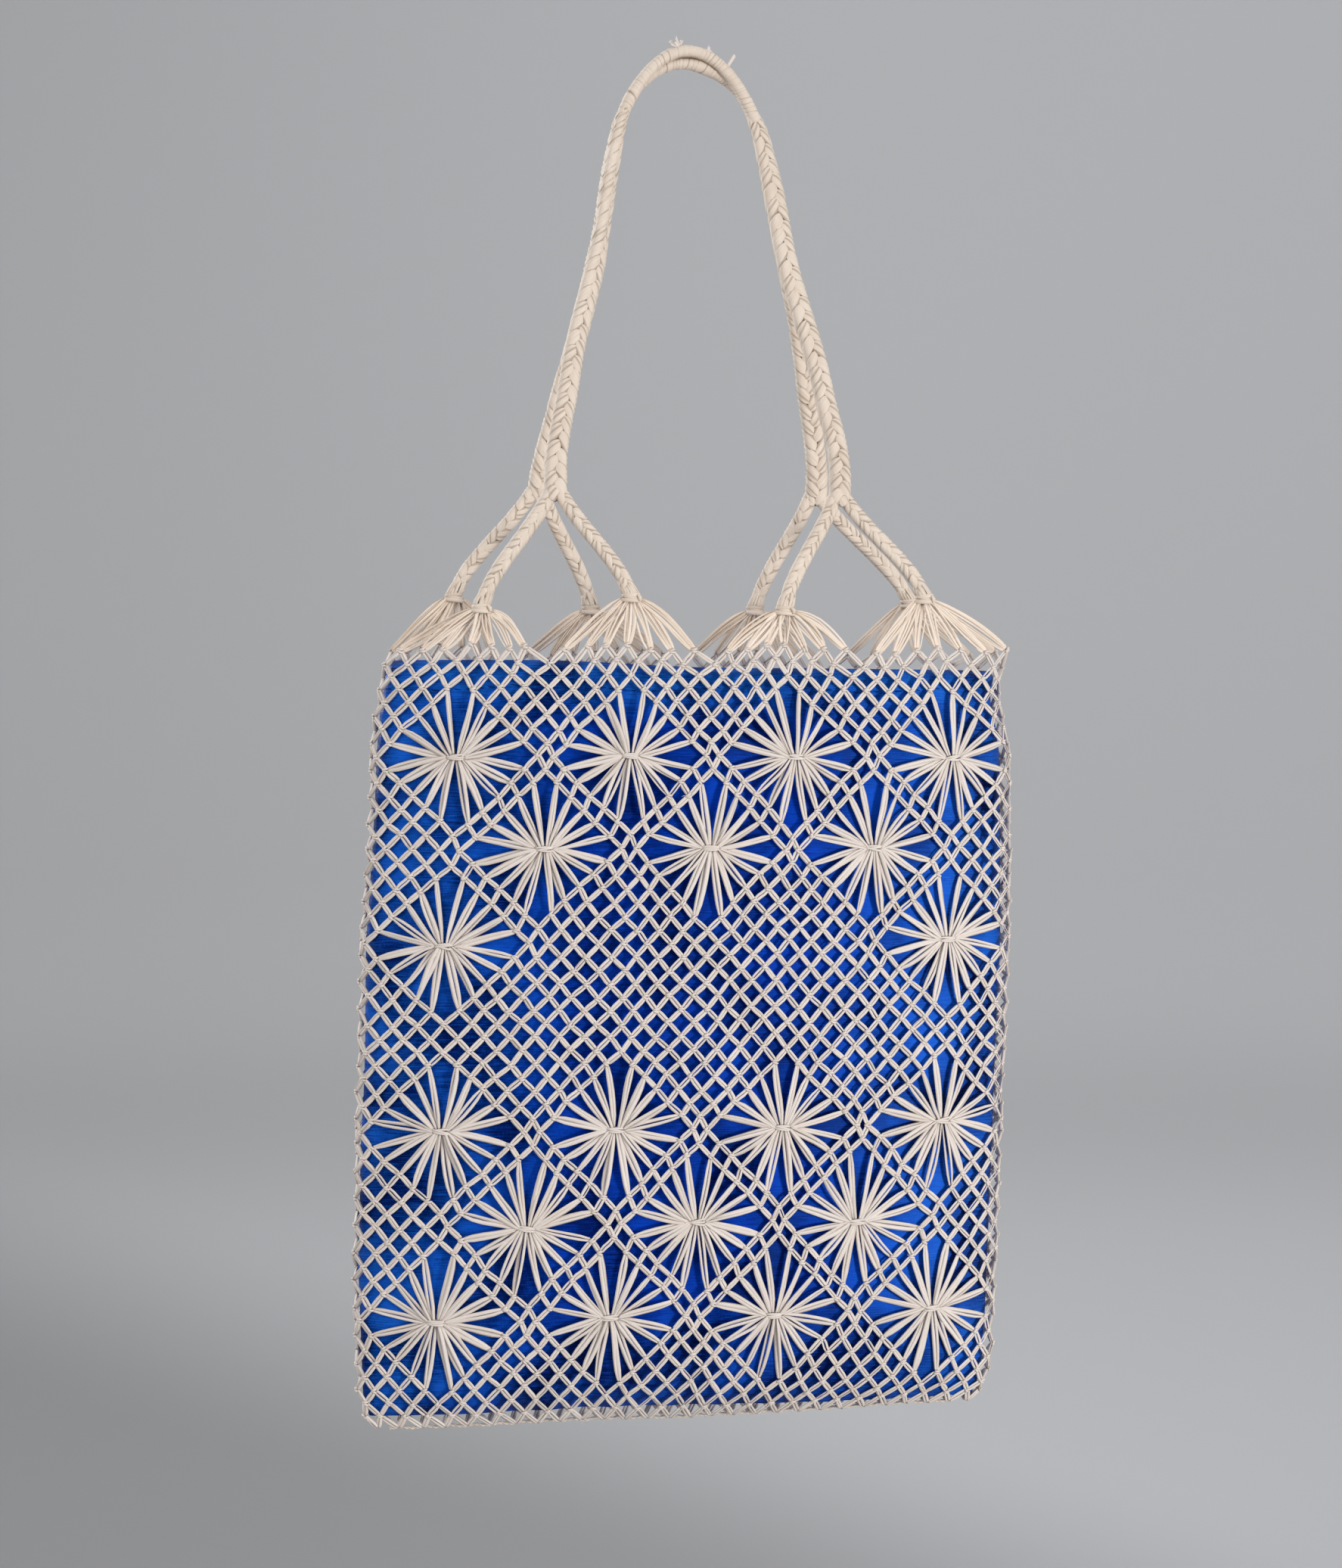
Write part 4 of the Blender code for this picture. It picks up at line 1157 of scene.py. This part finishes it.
def make_lining(finish):
    """The pouch: the wall's own form set in from the net, a shell folded over at its top.

    Along its grid run the columns, two panels that meet at the side seams; up it run the rows.
    """
    count, levels = LINING_COLUMNS, LINING_ROWS
    column = np.linspace(-SIDE, ROUND - SIDE, count, endpoint=False)
    row = HEM + (LINING_TOP - HEM) * np.linspace(0, 1, levels) ** 0.92
    column, row = np.meshgrid(column, row, indexing="ij")
    ripple = 0.0008 * soft_noise(column.ravel(), row.ravel() * 0.5, 9, 60).reshape(column.shape)
    out = wall_directions(column, row)[2]
    lean = HEM_LEAN * ramp(row, LINING_TOP - 0.9, LINING_TOP) ** 2
    # Painted sheen: the silk is painted paler towards its top, its foot and its side folds, where it stands
    # to the light
    painted_sheen_ends = 0.9 * ramp(row, 2.5, 5.5) + 0.4 * ramp(row, -40, -48)
    painted_sheen_sides = 0.65 * ramp(np.abs((column + SIDE) % (2 * SIDE) - SIDE), 10, 24)

    def sheet_points(inset):
        points = wall(column, row, inset + lean, LINING_SHORT_RIGHT)
        x, y = points[..., 0], points[..., 1]
        sink = ramp(x, -0.09, 0.01)
        sink = sink**2 * (3 - 2 * sink) * ramp(row, 2, 7)
        crease = np.exp(-(((x - 0.1615) / 0.0018) ** 2)) * (y < 0)
        crease = crease * ramp(row, -10, -6) * ramp(row, 5.5, 2.5)
        points = points - out * (0.0030 * crease + np.abs(ripple) * 0.7)[..., None]
        points[..., 2] -= 0.0034 * sink
        return points.reshape(-1, 3)

    # Corner i · levels + j is column i, row j; the inner sheet's corners follow the outer sheet's
    size = count * levels
    i, j = np.meshgrid(np.arange(count), np.arange(levels - 1), indexing="ij")
    a, b = i * levels + j, (i + 1) % count * levels + j
    outer = np.stack([a, b, b + 1, a + 1], -1).reshape(-1, 4)
    top = np.arange(count) * levels + levels - 1
    rim = np.stack([top, np.roll(top, -1), np.roll(top, -1) + size, top + size], 1)
    front = np.arange(0, count // 2)
    back, back_after = (-front) % count, (-front - 1) % count
    floor = np.stack([front, back, back_after, front + 1], 1)[1:-1] * levels
    ends = np.array([[0, back_after[0], 1], [front[-1], back[-1], front[-1] + 1]]) * levels
    lay = np.stack([column * 0.00625, row * ROW_HEIGHT, 0 * row], -1).reshape(-1, 3)
    shape = {
        "points": np.concatenate([sheet_points(LINING_INSET), sheet_points(LINING_INSET + LINING_THICK)]),
        "quads": np.concatenate([outer, outer[:, ::-1] + size, rim, floor, floor[:, ::-1] + size]),
        "tris": np.concatenate([ends, ends[:, ::-1] + size]),
        "lay": np.concatenate([lay, lay]),
        "edge": np.tile(np.maximum(painted_sheen_ends, painted_sheen_sides).ravel(), 2),
    }
    piece = add_piece("lining_pouch", shape, finish, "lining_silk", "lining")


# Camera, lights and floor

CAMERA_TURN = radians(13.5)  # to the left of the front
CAMERA_AWAY, CAMERA_BESIDE, CAMERA_Z = 1.96, 0.009, -0.376
CAMERA_LENS, CAMERA_SENSOR = 85.1, 36
AIM = (0, 0, -0.40)
LIGHTS = (  # name, place, size, power, colour and spread in degrees
    ("key", (1.9, -2.0, -0.95), 0.6, 17.0, (1, 0.985, 0.965), 110),
    ("fill", (-2.1, -1.8, 0.6), 1.6, 29, (1, 0.99, 0.98), 180),
    ("back light", (-1.9, 2.1, 0.5), 1.2, 35, (0.97, 0.98, 1), 180),
)
WORLD_COLOUR, WORLD_STRENGTH = (0.95, 0.97, 1.0, 1), 0.74
BOWL_RADIUS, BOWL_BEND, BOWL_LOW, BOWL_HIGH, BOWL_SIDES = 3.3, 1.2, -1.7, 1.1, 96
PAPER_GREY = (0.655, 0.655, 0.664, 1)


def make_camera():
    """A level camera, turned about the upright axis from the front and moved to its own left."""
    camera = bpy.data.cameras.new("camera")
    camera.lens, camera.sensor_width = CAMERA_LENS, CAMERA_SENSOR
    eye = bpy.data.objects.new("camera", camera)
    c, s = cos(CAMERA_TURN), sin(CAMERA_TURN)
    eye.location = (-CAMERA_AWAY * s - CAMERA_BESIDE * c, -CAMERA_AWAY * c + CAMERA_BESIDE * s, CAMERA_Z)
    eye.rotation_euler = (pi / 2, 0, -CAMERA_TURN)
    bpy.context.scene.collection.objects.link(eye)
    bpy.context.scene.camera = eye


def make_lights():
    """Square soft lights turned towards the bag, and the light of the room."""
    for name, place, size, power, colour, spread in LIGHTS:
        lamp = bpy.data.lights.new(name, "AREA")
        lamp.size, lamp.energy, lamp.color, lamp.spread = size, power, colour, radians(spread)
        made = bpy.data.objects.new(name, lamp)
        made.location = place
        made.rotation_euler = (Vector(AIM) - Vector(place)).to_track_quat("-Z", "Y").to_euler()
        made.visible_camera = False
        bpy.context.scene.collection.objects.link(made)
    world = bpy.data.worlds.new("studio")
    world.use_nodes = True
    feed(world.node_tree.nodes["Background"], {"Color": WORLD_COLOUR, "Strength": WORLD_STRENGTH})
    bpy.context.scene.world = world


def backdrop_paper():
    """Grey paper with painted light and shade: darker along its bend and towards the left, where the light
    falls off, and with a painted shadow of the bag low down, deepest on the left.
    """
    paper = bpy.data.materials.new("backdrop paper")
    paper.use_nodes = True
    tree = paper.node_tree
    x, _, z = axes(object_place(tree))
    # Painted light: the paper darkens to the left, as the light from the right falls off
    light_falloff = ranged(x, -0.35, 1.15, 0.76, 0.91, "SMOOTHSTEP")
    # Painted shade: a soft dark band along the bend
    from_bend = times(maths("ADD", z, 0.83), 8.5)
    dip = maths("EXPONENT", times(times(from_bend, from_bend), -1.0))
    bend_shade = maths("SUBTRACT", 1.0, times(dip, 0.11))
    # Painted shadow: the bag's shadow low on the floor, reaching higher on the left
    slanted = maths("ADD", z, times(x, 0.29))
    shaded = ranged(slanted, -1.24, -0.92, 0.62, 1.0, "SMOOTHSTEP")
    # Painted light: the floor a little lighter
    lifted = ranged(z, -1.30, -0.85, 1.08, 1.0, "SMOOTHSTEP")
    tone = times(times(light_falloff, bend_shade), times(shaded, lifted))
    grey = mixed_colour(tone, (0, 0, 0, 1), PAPER_GREY)
    feed(tree.nodes["Principled BSDF"], {"Base Color": grey, "Roughness": 0.9})
    return paper


def make_bowl():
    """The paper bowl: a profile, a level floor that bends up into a wall, turned round the upright axis."""
    sweep = np.linspace(0, pi / 2, 13)
    bend = BOWL_BEND * np.sin(sweep), BOWL_BEND * np.cos(sweep)
    across = np.concatenate([[0.001, 0.8, 1.5], BOWL_RADIUS - BOWL_BEND + bend[0], [BOWL_RADIUS]])
    up = np.concatenate([[BOWL_LOW] * 3, BOWL_LOW + BOWL_BEND - bend[1], [BOWL_HIGH]])
    spin = np.linspace(0, 2 * pi, BOWL_SIDES, endpoint=False)
    x, y = (across[:, None] * turn(spin) for turn in (np.cos, np.sin))
    points = np.stack([x, y, up[:, None] + 0 * spin], -1)
    mesh = bpy.data.meshes.new("bowl")
    quads = ring_quads(len(across), BOWL_SIDES, False)[:, ::-1].tolist()
    mesh.from_pydata(points.reshape(-1, 3).tolist(), [], quads + [list(range(BOWL_SIDES))])
    mesh.shade_smooth()
    mesh.materials.append(backdrop_paper())
    bowl = bpy.data.objects.new("floor_bowl", mesh)
    bpy.context.scene.collection.objects.link(bowl)


# Main

finishes = make_finishes()
net = make_net(finishes["net raffia"])
make_lining(finishes["lining silk"])
for handle, fan_finish in (("front", "fan raffia"), ("back", "back fan raffia with painted light")):
    for number in FAN_MIDDLES:
        make_fan(handle, number, net, finishes[fan_finish])
        make_wrap(handle, number, finishes["wrap raffia"])
        make_leg(handle, number, finishes["braid raffia"])
    make_strap(handle, finishes["braid raffia"])
    make_whipping(handle, finishes["whipping raffia"])
make_bottom_cord(finishes["cord raffia"])
make_stitches(finishes["stitch thread"])
make_loose_ends(net, finishes["net raffia"])
bpy.context.scene.view_settings.view_transform = "Standard"
make_camera()
make_lights()
make_bowl()
